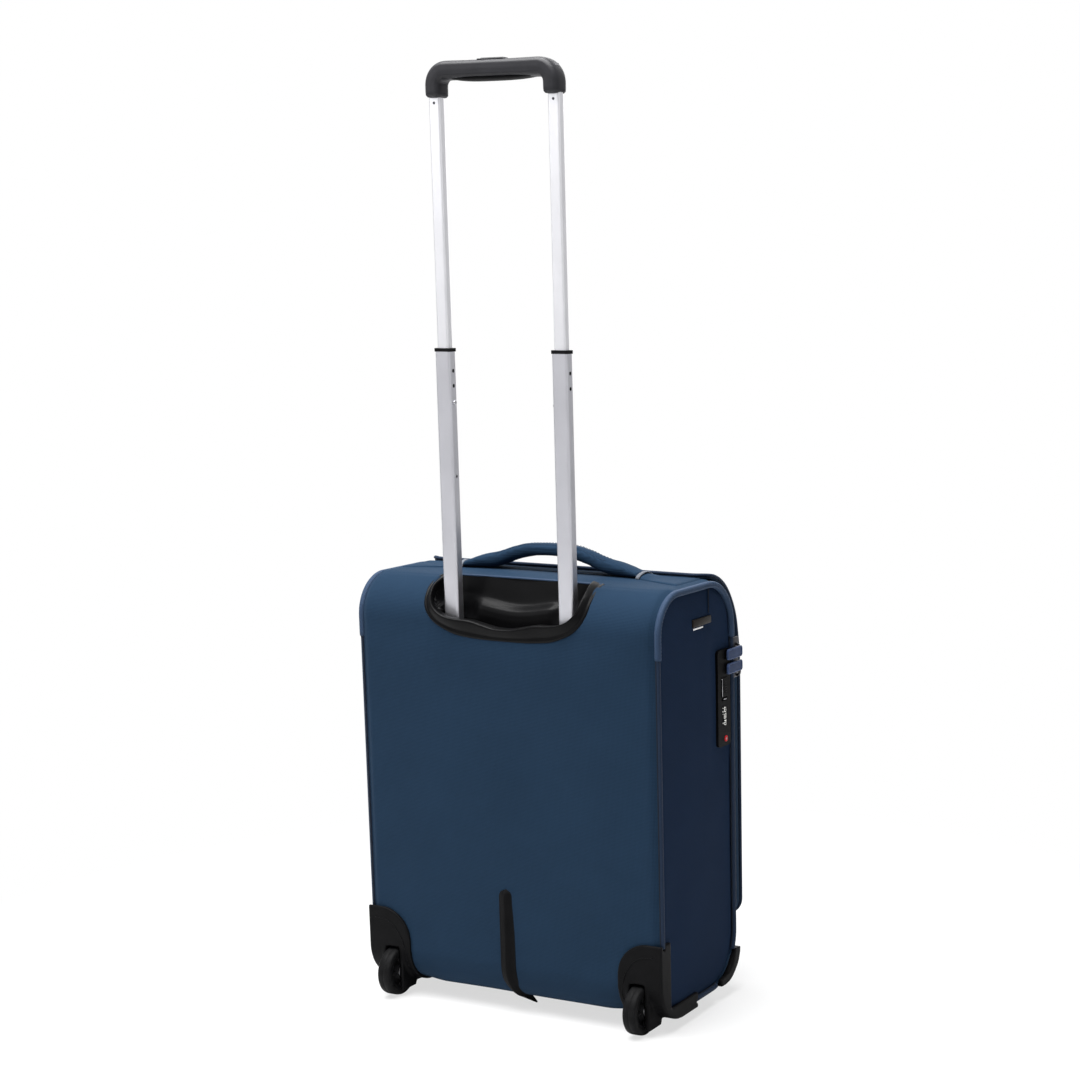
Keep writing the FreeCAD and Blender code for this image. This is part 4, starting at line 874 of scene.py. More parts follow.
def cup_hollow():
    """A pit in front of the tubes, a soft shoulder between them, then the wall up to the mouth."""
    floor_z, mouth_z = 456, 514.3
    outer_end = np.linspace(92, 100.5, 8)
    columns = np.concatenate([-outer_end[::-1], np.arange(-90, 91, 3.0), outer_end])
    grid = []
    for t in np.linspace(0, 1, 48):
        row = []
        for x in columns:
            side = abs(x)
            lip_z = np.interp(side, *LIP_LOWER) + 0.6
            low = lip_z + (floor_z - lip_z) * smoothstep(side, 96, 89)
            z = low + (mouth_z - low) * t
            wave = 3.6 * math.cos(x / 21.0)
            beside = np.interp(z, *BESIDE)
            deep = beside + (np.interp(z + wave, *SHOULDER) - beside) * smoothstep(side, 63, 46)
            # both ends of the wall turn out towards the rim
            rim_y = back_surface(x, min(z, CUP_TOP), 4.5)[1]
            gap = min(math.hypot(x - lip_x, z - lip_height) for lip_x, lip_height in LIP)
            turn_out = math.exp(-((gap / 2.6) ** 2)) * smoothstep(side, 88, 93) if t < 0.97 else 0
            row.append((x, deep + max(0, rim_y - deep) * turn_out, z))
        grid.append(row)
    sheet("cup_hollow", grid, "cup_plastic", "case")


def cup_floor():
    """Floor of the hollow, open where the two tubes pass, and the hem of the fabric at its mouth."""
    strips = ((-65, 65, 67.5, 93), (-97, -90, 67.5, 91), (90, 97, 67.5, 91), (-90.2, -64.8, 87.3, 92),
              (64.8, 90.2, 87.3, 92))
    parts = [rounded_box((x0, y0, 455.5), (x1, y1, 457), 0.5, 1) for x0, x1, y0, y1 in strips]
    merged("cup_floor", parts, "cup_plastic", "case")
    hem = [(x, 51.2, 514.2 - 1.2 * (x / 110) ** 2) for x in np.arange(-106, 107, 5)]
    cord("cup_mouth_hem", hem, ellipse(3.6, 2.4, 10, 0.8), "binding", "case", up=(0, 0, 1))


# ---------------------------------------------------------------- lid
# layers of the lid, each (how far out from the case, how far up, extra depth over its flat middle)
LID_LOW = (15.2, 2.6, 0)
LID_HIGH = (15.4, 2.8, 13.6)
# stations across a panel's rim: share of the rim's width, share of the full height
RIM = ((0, 0), (0.02, 0.3), (0.06, 0.62), (0.2, 0.84), (0.45, 0.95), (1.0, 1.0))


def lid_layer(layer, bottom=88.0, step=3.5, rear=-36.5, count=150):
    """Side outline of one layer of the lid: up the front, over the corner, back along the top."""
    offset, rise, depth = layer
    radius = 53 + offset
    front, top = -90 - offset, TOP + rise
    cy, cz = front + radius, top - radius
    rows = [(front, z, -1.0, 0.0) for z in np.arange(bottom, cz - step / 2, step)]
    turns = int(radius * math.pi / 2 / step)
    for i in range(turns + 1):
        a = math.pi - math.pi / 2 * i / turns
        rows.append((cy + radius * math.cos(a), cz + radius * math.sin(a), math.cos(a), math.sin(a)))
    rows.append((rear, top, 0.0, 1.0))
    rows = np.array(rows)
    stand = depth * (1 - 0.9 * smoothstep(rows[:, 1], 400, 490))
    dense = resample(rows[:, :2] + rows[:, 2:] * stand[:, None], 0.5)
    return interpolate(np.linspace(0, 1, count), np.linspace(0, 1, len(dense)), dense)


def round_outline(x, s, width, length, radius):
    """Move a point of a width by length sheet so that its corners are rounded. s runs from the bottom."""
    over_side = (abs(x) - width + radius) / radius
    over_end = (radius - s) / radius if s < radius else (s - length + radius) / radius
    if over_side <= 0 or over_end <= 0:
        return x, s
    a = over_side * math.sqrt(max(0, 1 - over_end ** 2 / 2))
    b = over_end * math.sqrt(max(0, 1 - over_side ** 2 / 2))
    sign = 1 if x >= 0 else -1
    rounded_s = radius - b * radius if s < radius else length - radius + b * radius
    return sign * (width - radius + a * radius), rounded_s


def stations(low, high, edge, gap, count):
    """Places across a padded panel, close together at both rims, each with its share of the height."""
    before = [(low + share * edge, height) for share, height in RIM]
    middle = [(place, 1.0) for place in np.linspace(low + edge + gap, high - edge - gap, count)]
    after = [(high - share * edge, height) for share, height in RIM[::-1]]
    return before + middle + after


def lid_sheet(name, low, high, puff, material, width=192.5, bottom=88.0, edge=10.0, radius=20.0, **more):
    """A padded panel of the lid. Its rim follows the low layer and its middle the high layer."""
    lower, upper = lid_layer(low, bottom), lid_layer(high, bottom)
    run = run_length(upper)
    length = run[-1]
    grid = []
    for s, height in stations(0, length, edge, 6, 92):
        row = []
        for x, share in stations(-width, width, edge, 5, 62):
            x2, s2 = round_outline(x, s, width, length, radius)
            start, end = (interpolate([s2], run, line)[0] for line in (lower, upper))
            crown = puff * (1 - (x / width) ** 4) * (1 - (2 * s / length - 1) ** 6)
            crown *= 1 - smoothstep(start[1], 380, 480)
            out = end - start
            size = max(1e-6, float(np.linalg.norm(out)))
            y, z = start + out * (1 + crown / size) * height * share
            row.append((x2, y, z))
        grid.append(row)
    sheet(name, grid, material, "lid", **more)


def lid_rim_path(layer, width, radius):
    """The closed line round the lid on one layer, as points."""
    line = lid_layer(layer)
    run = run_length(line)
    length = run[-1]
    up, across = np.linspace(0, length, 130), np.linspace(width, -width, 90)[1:-1]
    loop = [(width, s) for s in up] + [(x, length) for x in across]
    loop += [(-width, s) for s in up[::-1]] + [(x, 0.0) for x in across[::-1]]
    rounded = np.array([round_outline(x, s, width, length, radius) for x, s in loop])
    out = np.column_stack([rounded[:, 0], interpolate(rounded[:, 1], run, line)])
    return resample(out, 3.0, closed=True)


def zip_chain(name, path, body, node):
    """One half of the zip round the lid: its tape edge and its teeth."""
    cord(f"{name}_edge", path, ellipse(3.0, 2.0, 8), "zip", body, closed=True, replaces=[node])
    middle_z = path[:, 2].mean()
    fine = resample(path, 2.6, closed=True)
    tangent = unit(np.roll(fine, -1, 0) - np.roll(fine, 1, 0))
    parts = []
    for p, t in zip(fine, tangent):
        out = np.array([p[0], 0, p[2] - middle_z])
        out -= t * (out @ t)
        out /= max(1e-6, np.linalg.norm(out))
        tooth = p + out * 1.3
        parts.append(sweep([tooth - t * 0.65, tooth + t * 0.65], ellipse(1.5, 1.1, 6), up=out))
    merged(f"{name}_teeth", parts, "teeth", body)


def lid():
    """The lid with its lining, cord, zip and pocket, and the fabric wall under the case half of the zip."""
    lid_sheet("lid_front", LID_LOW, LID_HIGH, 3.0, "navy_fabric", replaces=["lid_panel"], flip=True)
    lid_sheet("lid_inside", (14.8, 2.2, 0), (14.9, 2.2, 10.5), -1.0, "lining", width=190.5, bottom=90,
              radius=18, replaces=["lid_lining"])
    cord("lid_piping", lid_rim_path((15.3, 2.8, 11.6), 192.6, 20), ellipse(4.0, 4.0, 10), "piping", "lid",
         closed=True)
    zip_chain("zip_lid", lid_rim_path((14.2, 2.3, 0), 191.5, 19), "lid", "zip_chain_lid")
    zip_chain("zip_case", lid_rim_path((11.6, 1.7, 0), 191.5, 19), "case", "zip_chain_case")
    edges = []
    for layer, width in (((0.5, 0.2, 0), 191.0), ((11.4, 1.6, 0), 191.5)):
        closed = close_path(lid_rim_path(layer, width, 19))
        run = run_length(closed)
        edges.append(interpolate(np.linspace(0, run[-1], 360, endpoint=False), run, closed))
    foot, top = edges
    wall = [foot + (top - foot) * t for t in (0, 0.3, 0.65, 1)]
    sheet("zip_wall", np.transpose(wall, (1, 0, 2)), "navy_fabric", "case", close_rows=True, thick=1.4)
    front_pocket()


def pad_by_cloth(obj, cap, pressure=4.0, voxel=5.0):
    """Blow a closed form up as sewn, padded cloth. No point moves further than the cap."""
    apply_modifiers(obj)
    remesh(obj, voxel)
    apply_modifiers(obj)
    rest = np.array([v.co for v in obj.data.vertices], float)
    cloth = obj.modifiers.new("cloth", "CLOTH")
    cloth.settings.use_pressure = True
    cloth.settings.uniform_pressure_force = pressure
    cloth.settings.effector_weights.gravity = 0
    cloth.settings.tension_stiffness = 25
    cloth.settings.compression_stiffness = 25
    scene = bpy.context.scene
    for number in range(1, 21):
        scene.frame_set(number)
    graph = bpy.context.evaluated_depsgraph_get()
    blown = np.array([v.co for v in obj.evaluated_get(graph).data.vertices], float)
    obj.modifiers.clear()
    scene.frame_set(1)
    move = blown - rest
    size = np.linalg.norm(move, axis=1)
    limit = cap * MM
    move *= (limit * np.tanh(size / limit) / np.maximum(size, 1e-9))[:, None]
    obj.data.vertices.foreach_set("co", (rest + move).astype(np.float32).ravel())
    obj.data.update()
    shade_smooth(obj.data)
    subdivide(obj)
    apply_modifiers(obj)


def front_pocket():
    """Padded pocket on the lid, its cord, and its zip above it."""
    pad = block("pocket_pad", (-163, -125.2, 114), (163, -118.2, 399), 3.2, "soft_fabric", None)
    subdivide(pad, 4, "SIMPLE")
    pad_by_cloth(pad, 4.0)
    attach(pad, "lid")
    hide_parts("front_pocket")
    outline = [(x, -121.6, z) for x, z in rounded_rectangle((-164, 113), (164, 400), 24, 8)]
    outline = resample(outline, 4, closed=True)
    cord("pocket_piping", outline, ellipse(3.6, 3.6, 10), "piping", "lid", closed=True)
    forwards = (0, -1, 0)
    zip_z = 409.5
    line = [(x, -120.4, zip_z) for x in np.arange(-158, 159, 5)]
    cord("pocket_zip_tape", line, ellipse(11, 1.6, 8, 0.6), "zip", "lid", up=forwards)
    parts = []
    for x in np.arange(-156, 157, 2.4):
        tooth = [(end, -121.2, zip_z) for end in (x - 0.6, x + 0.6)]
        parts.append(sweep(tooth, ellipse(3.4, 1.2, 6), up=forwards))
    merged("pocket_zip_teeth", parts, "teeth", "lid")
    line = [(x, -120.6, 418) for x in np.arange(-160, 161, 4)]
    merged("pocket_stitches", stitch_parts(line, forwards), "thread", "lid")


def pocket_slider():
    body = rounded_box((-150, -123.8, 405.5), (-136, -121.4, 413.5), 1.1)
    tab = rounded_box((-158, -125.0, 406.5), (-149, -123.4, 412.5), 0.7)
    merged("pocket_slider_look", [body, tab], "dark_steel", "pocket_zip", replaces=["pocket_slider"])


def lid_hinge():
    """Fabric strip that joins case and lid on the long side away from the lock."""
    grid = []
    for y in np.linspace(-93, -113, 11):
        x = 193.6 + 0.9 * math.sin((y + 93) / -20 * math.pi)
        grid.append([(x, y, z) for z in np.arange(112, 437, 6.0)])
    strip = sheet("hinge_strip", grid, "soft_fabric", thick=0.8)
    apply_modifiers(strip)
    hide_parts("lid_hinge_gusset")
    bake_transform(strip)


# ---------------------------------------------------------------- carry handle
# heights of the pad's upper and lower outline, by distance from its middle
HANDLE_TOP = np.array(((0, 547.5), (20, 547.0), (37, 545.6), (55, 540.4), (66, 536.2), (77, 532.6),
                       (91, 530.2), (103, 526.6), (116, 521.6), (126, 518.6))).T
HANDLE_UNDER = np.array(((0, 533.0), (20, 532.4), (42, 528.0), (55, 523.6), (65, 519), (72, 516.4),
                         (80, 514.8), (90, 514.0), (126, 513.4))).T


def carry_handle():
    """One padded handle, thick where its flat ends begin. The ends stay on the case."""
    half = np.array([0, 12, 24, 36, 47, 56, 64, 71, 78, 85, 92, 100, 108, 115, 121.5])
    middle = (np.interp(half, *HANDLE_TOP) + np.interp(half, *HANDLE_UNDER)) / 2
    right = np.stack([half, half * 0 + CARRY_Y, middle], 1)
    path = spline(np.concatenate([right[:0:-1] * [-1, 1, 1], right]), 3.0)
    along = np.abs(path[:, 0])
    slope = np.abs(np.gradient(path[:, 2]) / np.maximum(np.abs(np.gradient(path[:, 0])), 1e-6))
    height = (np.interp(along, *HANDLE_TOP) - np.interp(along, *HANDLE_UNDER)) / np.sqrt(1 + slope ** 2)
    width = np.interp(along, [0, 60, 80, 100, 125], [24.5, 24.5, 25.5, 27, 27.5])
    pad = cord("handle_pad", path, ellipse(1, 1, 24, 0.8), "soft_fabric", up=(0, 0, 1),
               scale=np.stack([width, height], 1))
    pad_by_cloth(pad, 1.0, pressure=2.0, voxel=4.0)
    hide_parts("carry_handle", "handle_anchor_pads")
    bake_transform(pad)
    arch = along < 76
    parts = []
    for sign in (-1, 1):
        line = path[arch].copy()
        line[:, 1] += sign * (width[arch] / 2 - 4.6)
        line[:, 2] += height[arch] / 2 - 0.9
        parts += stitch_parts(line, (0, 0, 1))
    seam = merged("handle_stitches", parts, "thread")
    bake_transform(seam)
    for side, sign in SIDES:
        handle_clamp(side, sign)
        handle_patch(side, sign)


def handle_clamp(side, sign):
    """Pale strip bent over one end of the carry handle."""
    bent = ((121.6, -1.4, 513.2), (122.2, -2.6, 515.6), (123.0, -6, 518.0), (123.8, -10.5, 519.6),
            (124.4, -15, 520.2), (125.0, -20, 519.6), (125.6, -24.5, 517.6), (126.2, -28.2, 514.6),
            (126.4, -29.0, 513.2))
    path = spline([(sign * x, y, z) for x, y, z in bent], 1.5)
    out = path - np.array([0, CARRY_Y, 512])
    out[:, 0] = 0
    cord(f"handle_clamp_{side}", path, ellipse(5.0, 2.2, 12, 0.6), "clamp", "case", up=unit(out))


def handle_patch(side, sign):
    """Fabric sewn over the anchor of one handle end, raised where the end runs under it."""
    front_to_rear = ((0, 0), (0.02, 0.8), (0.06, 1), (0.15, 1), (0.3, 1), (0.45, 1), (0.6, 1), (0.75, 1),
                     (0.87, 1), (0.94, 1), (0.98, 0.8), (1, 0))
    outwards = ((126, 0.9), (128, 1), (131, 1), (136, 1), (142, 1), (150, 1), (165, 1), (180, 1), (187, 0.8),
                (188, 0))
    grid = []
    for t, share in front_to_rear:
        row = []
        for x, end in outwards:
            near = -1 + (x - 126) * 0.42
            y = near + (-33 - near) * t
            tail = 3.9 * math.exp(-((x - 126) / 12) ** 2) * max(0.0, 1 - ((y - CARRY_Y) / 14) ** 2) ** 0.6
            row.append((sign * x, y, 513.3 + (1.4 * share + tail) * end))
        grid.append(row)
    sheet(f"handle_patch_{side}", grid, "soft_fabric", "case", flip=sign < 0)


# ---------------------------------------------------------------- trolley grip
GRIP_HALF = 76.5
GRIP_CORNER = 16
GRIP_BEND_Z = 1065.5


def grip_path():
    """Middle line of the U-shaped grip, up one leg, across and down the other."""
    inner = GRIP_HALF - GRIP_CORNER
    top = GRIP_BEND_Z + GRIP_CORNER
    line = [(-GRIP_HALF, z) for z in (1051.5, 1058, 1065)]
    line += arc((-inner, GRIP_BEND_Z), GRIP_CORNER, 180, -90, 9)
    line += [(x, top) for x in np.linspace(6 - inner, inner - 6, 30)]
    line += arc((inner, GRIP_BEND_Z), GRIP_CORNER, 90, -90, 9)
    line += [(GRIP_HALF, z) for z in (1065, 1058, 1051.5)]
    return np.array([(x, TUBE_Y, z) for x, z in line], float)


def grip_body():
    """Squarish section 26 mm from front to back and 20 to 21 mm thick, with fine parting grooves."""
    path = grip_path()
    side, normal = frames_along(path, False, up=(0, 1, 0))
    section = ellipse(2, 2, 40, 0.62)
    rows = len(path)
    marks = [0, 3, 12, 20, rows / 2, rows - 21, rows - 13, rows - 4, rows - 1]
    thickness = np.interp(np.arange(rows), marks, [20, 20, 21, 20.2, 20.5, 20.2, 21, 20, 20])
    points = []
    for p, sideways, out, thick in zip(path, side, normal, thickness):
        for u, v in section:
            groove = 0.35 if abs(abs(u) - 0.30) < 0.06 and abs(v) > 0.9 else 0
            points.append(p + sideways * u * thick / 2 + out * v * (12.9 - groove))
    faces = grid_faces(rows, len(section), close_columns=True) + end_caps(rows, len(section))
    body = piece("grip_body", points, faces, "grip_plastic", "handle", uv=flat_layout(points, 0),
                 replaces=["grip_shell"])
    subdivide(body)


def grip():
    """U-shaped pull grip with the insert under its crossbar, the release button and the frame round it."""
    grip_body()
    grid = []
    for depth, lift in ((-10.5, 0), (-9.5, 1.3), (-5, 2.6), (0, 3.1), (5, 2.6), (9.5, 1.3), (10.5, 0)):
        row = []
        for x in np.linspace(-57, 57, 40):
            bulge = 1 - (abs(x) / 57) ** 3.2
            row.append((x, TUBE_Y + depth * (0.75 + 0.25 * bulge), 1072.2 - lift * bulge * 1.25))
        grid.append(row)
    sheet("grip_lens", grid, "gloss_plastic", "handle", slot="grip_plastic", flip=True,
          replaces=["grip_insert"])
    block("button_look", (-16.3, 71.7, 1085), (16.3, 84.3, 1093.2), 2.4, "gloss_plastic", "release",
          slot="grip_plastic", replaces=["grip_button"])
    ring = [(x, y, 1091.6) for x, y in rounded_rectangle((-18, 70), (18, 86), 3.0, 5)]
    cord("button_frame", resample(ring, 2, closed=True), ellipse(1.4, 1.2, 8), "grip_plastic", "handle",
         closed=True, up=(0, 0, 1))


# ---------------------------------------------------------------- wheels, feet and skid
WHEEL_X = 169.5
AXLE_Y, AXLE_Z = 91.0, 29.5
# closed profiles of tyre and hub as (distance from the wheel's middle plane, radius)
TYRE_PROFILE = ((-8.6, 21.2), (-8.75, 25.5), (-8.3, 27.6), (-7.2, 28.9), (-5.4, 29.35), (-2.6, 29.45),
                (-0.5, 29.45), (0, 29.1), (0.5, 29.45), (2.6, 29.45), (5.4, 29.35), (7.2, 28.9), (8.3, 27.6),
                (8.75, 25.5), (8.6, 21.2), (6, 20.8), (-6, 20.8))
HUB_PROFILE = ((-8.2, 8.0), (-8.2, 11), (-5.4, 12), (-4.6, 17), (-7.6, 19.6), (-8.3, 21.0), (8.3, 21.0),
               (7.6, 19.6), (4.6, 17), (5.4, 12), (8.2, 11), (8.2, 8.0))


def wheel_corner(side, sign):
    """Housing of one wheel: the CAD form with cheeks beside the wheel and a filled edge, softened."""
    extra = []
    # both cheeks, each narrower and shorter at its lower end
    for inner, outer in ((155.0, 159.5), (179.5, 186.5)):
        low, high = sorted((sign * inner, sign * outer))
        extra.append(tapered(7.0, 40.0, (low + 0.6, high - 0.6), (low, high), (72, 100), (66, 99)))
    covered = np.flatnonzero((LOOP_Y > 16) & (LOOP_Z < 106))
    after, before = covered[covered > len(LOOP) / 2], covered[covered < len(LOOP) / 2]
    edge = loop_at(sign * 197.8, -1.2, LOOP[np.concatenate([after, before])])
    extra.append(sweep(edge, ellipse(9.4, 9.4, 14, 0.8), up=(sign, 0, 0))[:2])
    housing = f"wheel_housing_{side}"
    soft_copy(f"wheel_corner_{side}", [housing], "black_plastic", "case", voxel=1.3, passes=5, extra=extra,
              replaces=[housing])
    # raised contour line moulded into the cover
    contour = ((192, 96), (180, 95), (168, 90), (158, 78), (152, 64), (149, 48), (150, 40))
    line = spline([back_surface(sign * x, z, 4.7) for x, z in contour], 2.5)
    cord(f"wheel_contour_{side}", line, ellipse(1.1, 0.9, 8), "black_plastic", "case", up=(0, 1, 0))
    wheel(side, sign * WHEEL_X)


def wheel(side, x):
    """Tyre, hub and spokes of one wheel, turned about its axle."""
    body = f"wheel_{side}"
    turned(f"tyre_look_{side}", TYRE_PROFILE, x, AXLE_Y, AXLE_Z, "tyre", body, [f"tyre_{side}"])
    turned(f"hub_look_{side}", HUB_PROFILE, x, AXLE_Y, AXLE_Z, "black_plastic", body, [f"wheel_hub_{side}"])
    parts = []
    for k in range(5):
        a = 2 * math.pi * k / 5
        for end in (-6.0, 6.0):
            line = [(x + end, AXLE_Y + r * math.cos(a), AXLE_Z + r * math.sin(a)) for r in (11.5, 15.5, 19.5)]
            parts.append(sweep(line, ellipse(4.2, 3.4, 8), up=(1, 0, 0)))
    merged(f"hub_spokes_{side}", parts, "black_plastic", body)


def front_feet():
    """Guards over the front lower corners, each with a post to stand on. Outlines are (y, z)."""
    outer = [(-96, 54), (-94.5, 46), (-91.5, 38.5), (-87, 32), (-81, 26.5), (-74, 21.5), (-66, 18.2),
             (-56, 17), (-46, 17.5)]
    inner = [(-43.5, 26.5), (-52, 28), (-60, 29), (-66.5, 30.5), (-72, 33.5), (-76.5, 38), (-80, 46),
             (-82, 55.5)]
    skin = [(-48, 20), (-56, 23.5), (-64, 29), (-72, 37), (-78, 45.5), (-82.5, 55)]
    post = [(-80, 0.2), (-56, 0.2), (-51, 12), (-50, 21), (-58, 25), (-66, 31), (-74, 39), (-80, 48),
            (-87, 47), (-85, 22)]
    for side, sign in SIDES:
        flange = prism(outer + inner, sign * 198.4, sign * 203.2)
        wrap = prism(outer + skin, sign * 165, sign * 202.0)
        stand = prism(post, sign * 140.5, sign * 168)
        soft_copy(f"foot_look_{side}", [], "black_plastic", "case", voxel=1.1, passes=4,
                  extra=[flange, wrap, stand], replaces=[f"front_foot_{side}"])


def skid_rows():
    """Stations of the skid from its upper end: its crest, the direction out, and its foot in the fabric."""
    rows = [(96.0, z, 1.0, 0.0, 93.0, z) for z in np.arange(153, 63, -3.0)]
    turns = 18
    for k in range(turns + 1):
        a = math.radians(-52 * k / turns)
        c, s = math.cos(a), math.sin(a)
        radius = 58 - 2.9 * (k / turns) ** 2
        rows.append((38 + radius * c, 62 + radius * s, c, s, 48 + 43 * c, 61 + 42.5 * s))
    last = np.array(rows[-1])
    tip = np.array([51.5, 2.0, 0.45, -0.89, 66.0, 18.5])
    return np.array(rows + [last + (tip - last) * t for t in np.linspace(0, 1, 9)[1:]])


def skid():
    """Ridge that follows the back and the lower corner and ends in a point."""
    rows = skid_rows()
    run = run_length(rows[:, :2])
    # a broad face towards one side of the ridge and a steep one towards the other
    section = ((-1.0, 0.0), (-1.0, 0.1), (-0.92, 0.15), (-0.8, 0.18), (-0.45, 0.56), (-0.1, 0.95), (0.0, 1.0),
               (0.12, 0.98), (0.4, 0.86), (0.7, 0.72), (0.78, 0.56), (0.86, 0.56), (0.95, 0.52), (1.0, 0.35),
               (1.0, 0.0))
    left_edge, full_width, full_depth = -4.4, 9.4, 6.6
    round_end, width_taper, depth_taper = 9.0, 58.0, 36.0
    grid = []
    for s, (y, z, ny, nz, foot_y, foot_z) in zip(run, rows):
        left = run[-1] - s
        start = math.sqrt(max(0.0, 1 - (1 - min(1, s / round_end)) ** 2))
        taper = full_width * (0.05 + 0.95 * min(1, left / width_taper) ** 0.8)
        width = taper * max(0.05, start)
        depth = full_depth * (0.35 + 0.65 * start) * (0.25 + 0.75 * min(1, left / depth_taper))
        x = left_edge + taper
        row = [(x + u * width, y + ny * v * depth, z + nz * v * depth) for u, v in section]
        grid.append([(x - width, foot_y, foot_z)] + row + [(x + width, foot_y, foot_z)])
    sheet("skid_look", grid, "black_plastic", "case", replaces=["skid_strip"])
    for name, row in (("skid_cap", grid[0]), ("skid_tip", grid[-1])):
        piece(name, row, [tuple(range(len(row)))], "black_plastic", "case", uv=flat_layout(row, 0))


# ---------------------------------------------------------------- lock
# strokes of the digits, in half widths and half heights
DIGIT_LINES = {
    0: ((-1, -1), (-1, 1), (1, 1), (1, -1), (-1, -1)),
    1: ((-0.4, 0.6), (0.2, 1), (0.2, -1)),
    2: ((-1, 0.8), (0, 1), (1, 0.6), (-1, -1), (1, -1)),
    3: ((-1, 1), (1, 1), (0, 0.1), (1, -0.3), (0.6, -1), (-1, -1)),
    4: ((0.5, -1), (0.5, 1), (-1, -0.3), (1, -0.3)),
    5: ((1, 1), (-1, 1), (-1, 0.1), (0.8, 0.1), (1, -0.5), (0.6, -1), (-1, -1)),
    6: ((0.8, 1), (-1, 0), (-1, -1), (1, -1), (1, 0), (-1, 0)),
    7: ((-1, 1), (1, 1), (-0.2, -1)),
    8: ((-1, 0), (-1, 1), (1, 1), (1, 0), (-1, 0), (-1, -1), (1, -1), (1, 0)),
    9: ((1, 0), (-1, 0), (-1, 1), (1, 1), (1, 0), (0.2, -1)),
}
LEFTWARDS = (-1, 0, 0)


def lock():
    """Housing, release button, dials and key cylinder on the left side, with a raised edge round them."""
    bevel_node("lock_housing", 0.8, "gloss_plastic")
    bevel_node("lock_release", 0.7, "gloss_plastic")
    bevel_node("dial_axle", 0.0, "steel")
    ribs = []
    for z in range(376, 389, 3):
        ribs.append(sweep([(-202.3, y, z) for y in (-67, -63, -59.5)], ellipse(0.8, 0.8, 6), up=LEFTWARDS))
    merged("release_ribs", ribs, "gloss_plastic", "lock_button")
    edge = [(-202.1, -56.8, z) for z in (371.5, 382, 392.5)]
    cord("release_edge", edge, ellipse(0.6, 0.6, 6), "steel", "lock_button", up=LEFTWARDS)
    edge = ((-201.7, -68, 367.6), (-201.7, -64, 367.2), (-201.7, -60.5, 367.6))
    cord("release_window_edge", edge, ellipse(1.0, 0.7, 6), "steel", "case", up=LEFTWARDS)
    dials = (("first_dial", 355.0, 3), ("second_dial", 347.2, 8), ("third_dial", 339.4, 5))
    for number, (body, z, shown) in enumerate(dials, 1):
        dial(number, body, z, shown)
    key_cylinder(-201.5, -66, 319.5)
    bezel = [(-198.9, y, z) for y, z in rounded_rectangle((-77.4, 311.6), (-47.6, 426.4), 4.9, 6)]
    cord("lock_bezel", resample(bezel, 3, closed=True), ellipse(1.2, 1.6, 8), "gloss_plastic", "case",
         closed=True, up=LEFTWARDS)


def dial(number, body, z, shown):
    """One ring turned about a line along z, knurled at both rims, with ten digits round it."""
    cx, cy = -193.3, -62.5
    profile = ((-3.35, 1.6), (-3.4, 7.6), (-3.0, 8.7), (-2.0, 8.95), (2.0, 8.95), (3.0, 8.7), (3.4, 7.6),
               (3.35, 1.6))
    points = []
    count = 60
    for k in range(count):
        a = 2 * math.pi * k / count
        for height, r in profile:
            if k % 6 in (2, 3) and r > 8 and abs(height) > 2.4:
                r -= 0.22
            points.append((cx + r * math.cos(a), cy + r * math.sin(a), z + height))
    faces = grid_faces(count, len(profile), close_rows=True, close_columns=True)
    piece(f"dial_look_{number}", points, faces, "dial", body, uv=flat_layout(points),
          replaces=[f"dial_{number}"])
    parts = []
    for value in range(10):
        a = math.pi + 2 * math.pi * (value - shown) / 10
        out = np.array([math.cos(a), math.sin(a), 0])
        across = np.array([-math.sin(a), math.cos(a), 0])
        middle = np.array([cx, cy, z]) + out * 9.02
        line = [middle - across * u * 2.1 + np.array([0, 0, v * 2.5]) for u, v in DIGIT_LINES[value]]
        parts.append(sweep(resample(line, 0.4), ellipse(1.2, 0.4, 6), up=out))
    merged(f"dial_digits_{number}", parts, "digits", body)


def key_cylinder(x, y, z):
    """Red ring round a pale face with a slot."""
    ring = ((0.0, 3.75), (-0.5, 3.7), (-0.75, 3.3), (-0.8, 2.2), (-0.75, 1.5), (0.4, 1.4), (0.4, 3.75))
    turned("key_ring", ring, x, y, z, "key_red", "key_plug", ["key_cylinder"], count=40)
    face = ((0.3, 0.05), (-0.75, 0.05), (-0.75, 1.2), (-0.6, 1.42), (0.3, 1.42))
    turned("key_face", face, x, y, z, "steel", "key_plug", [], count=32)
    low, high = (x - 0.95, y - 0.3, z - 1), (x + 0.2, y + 0.3, z + 1)
    block("key_slot", low, high, 0.15, "gloss_plastic", "key_plug")


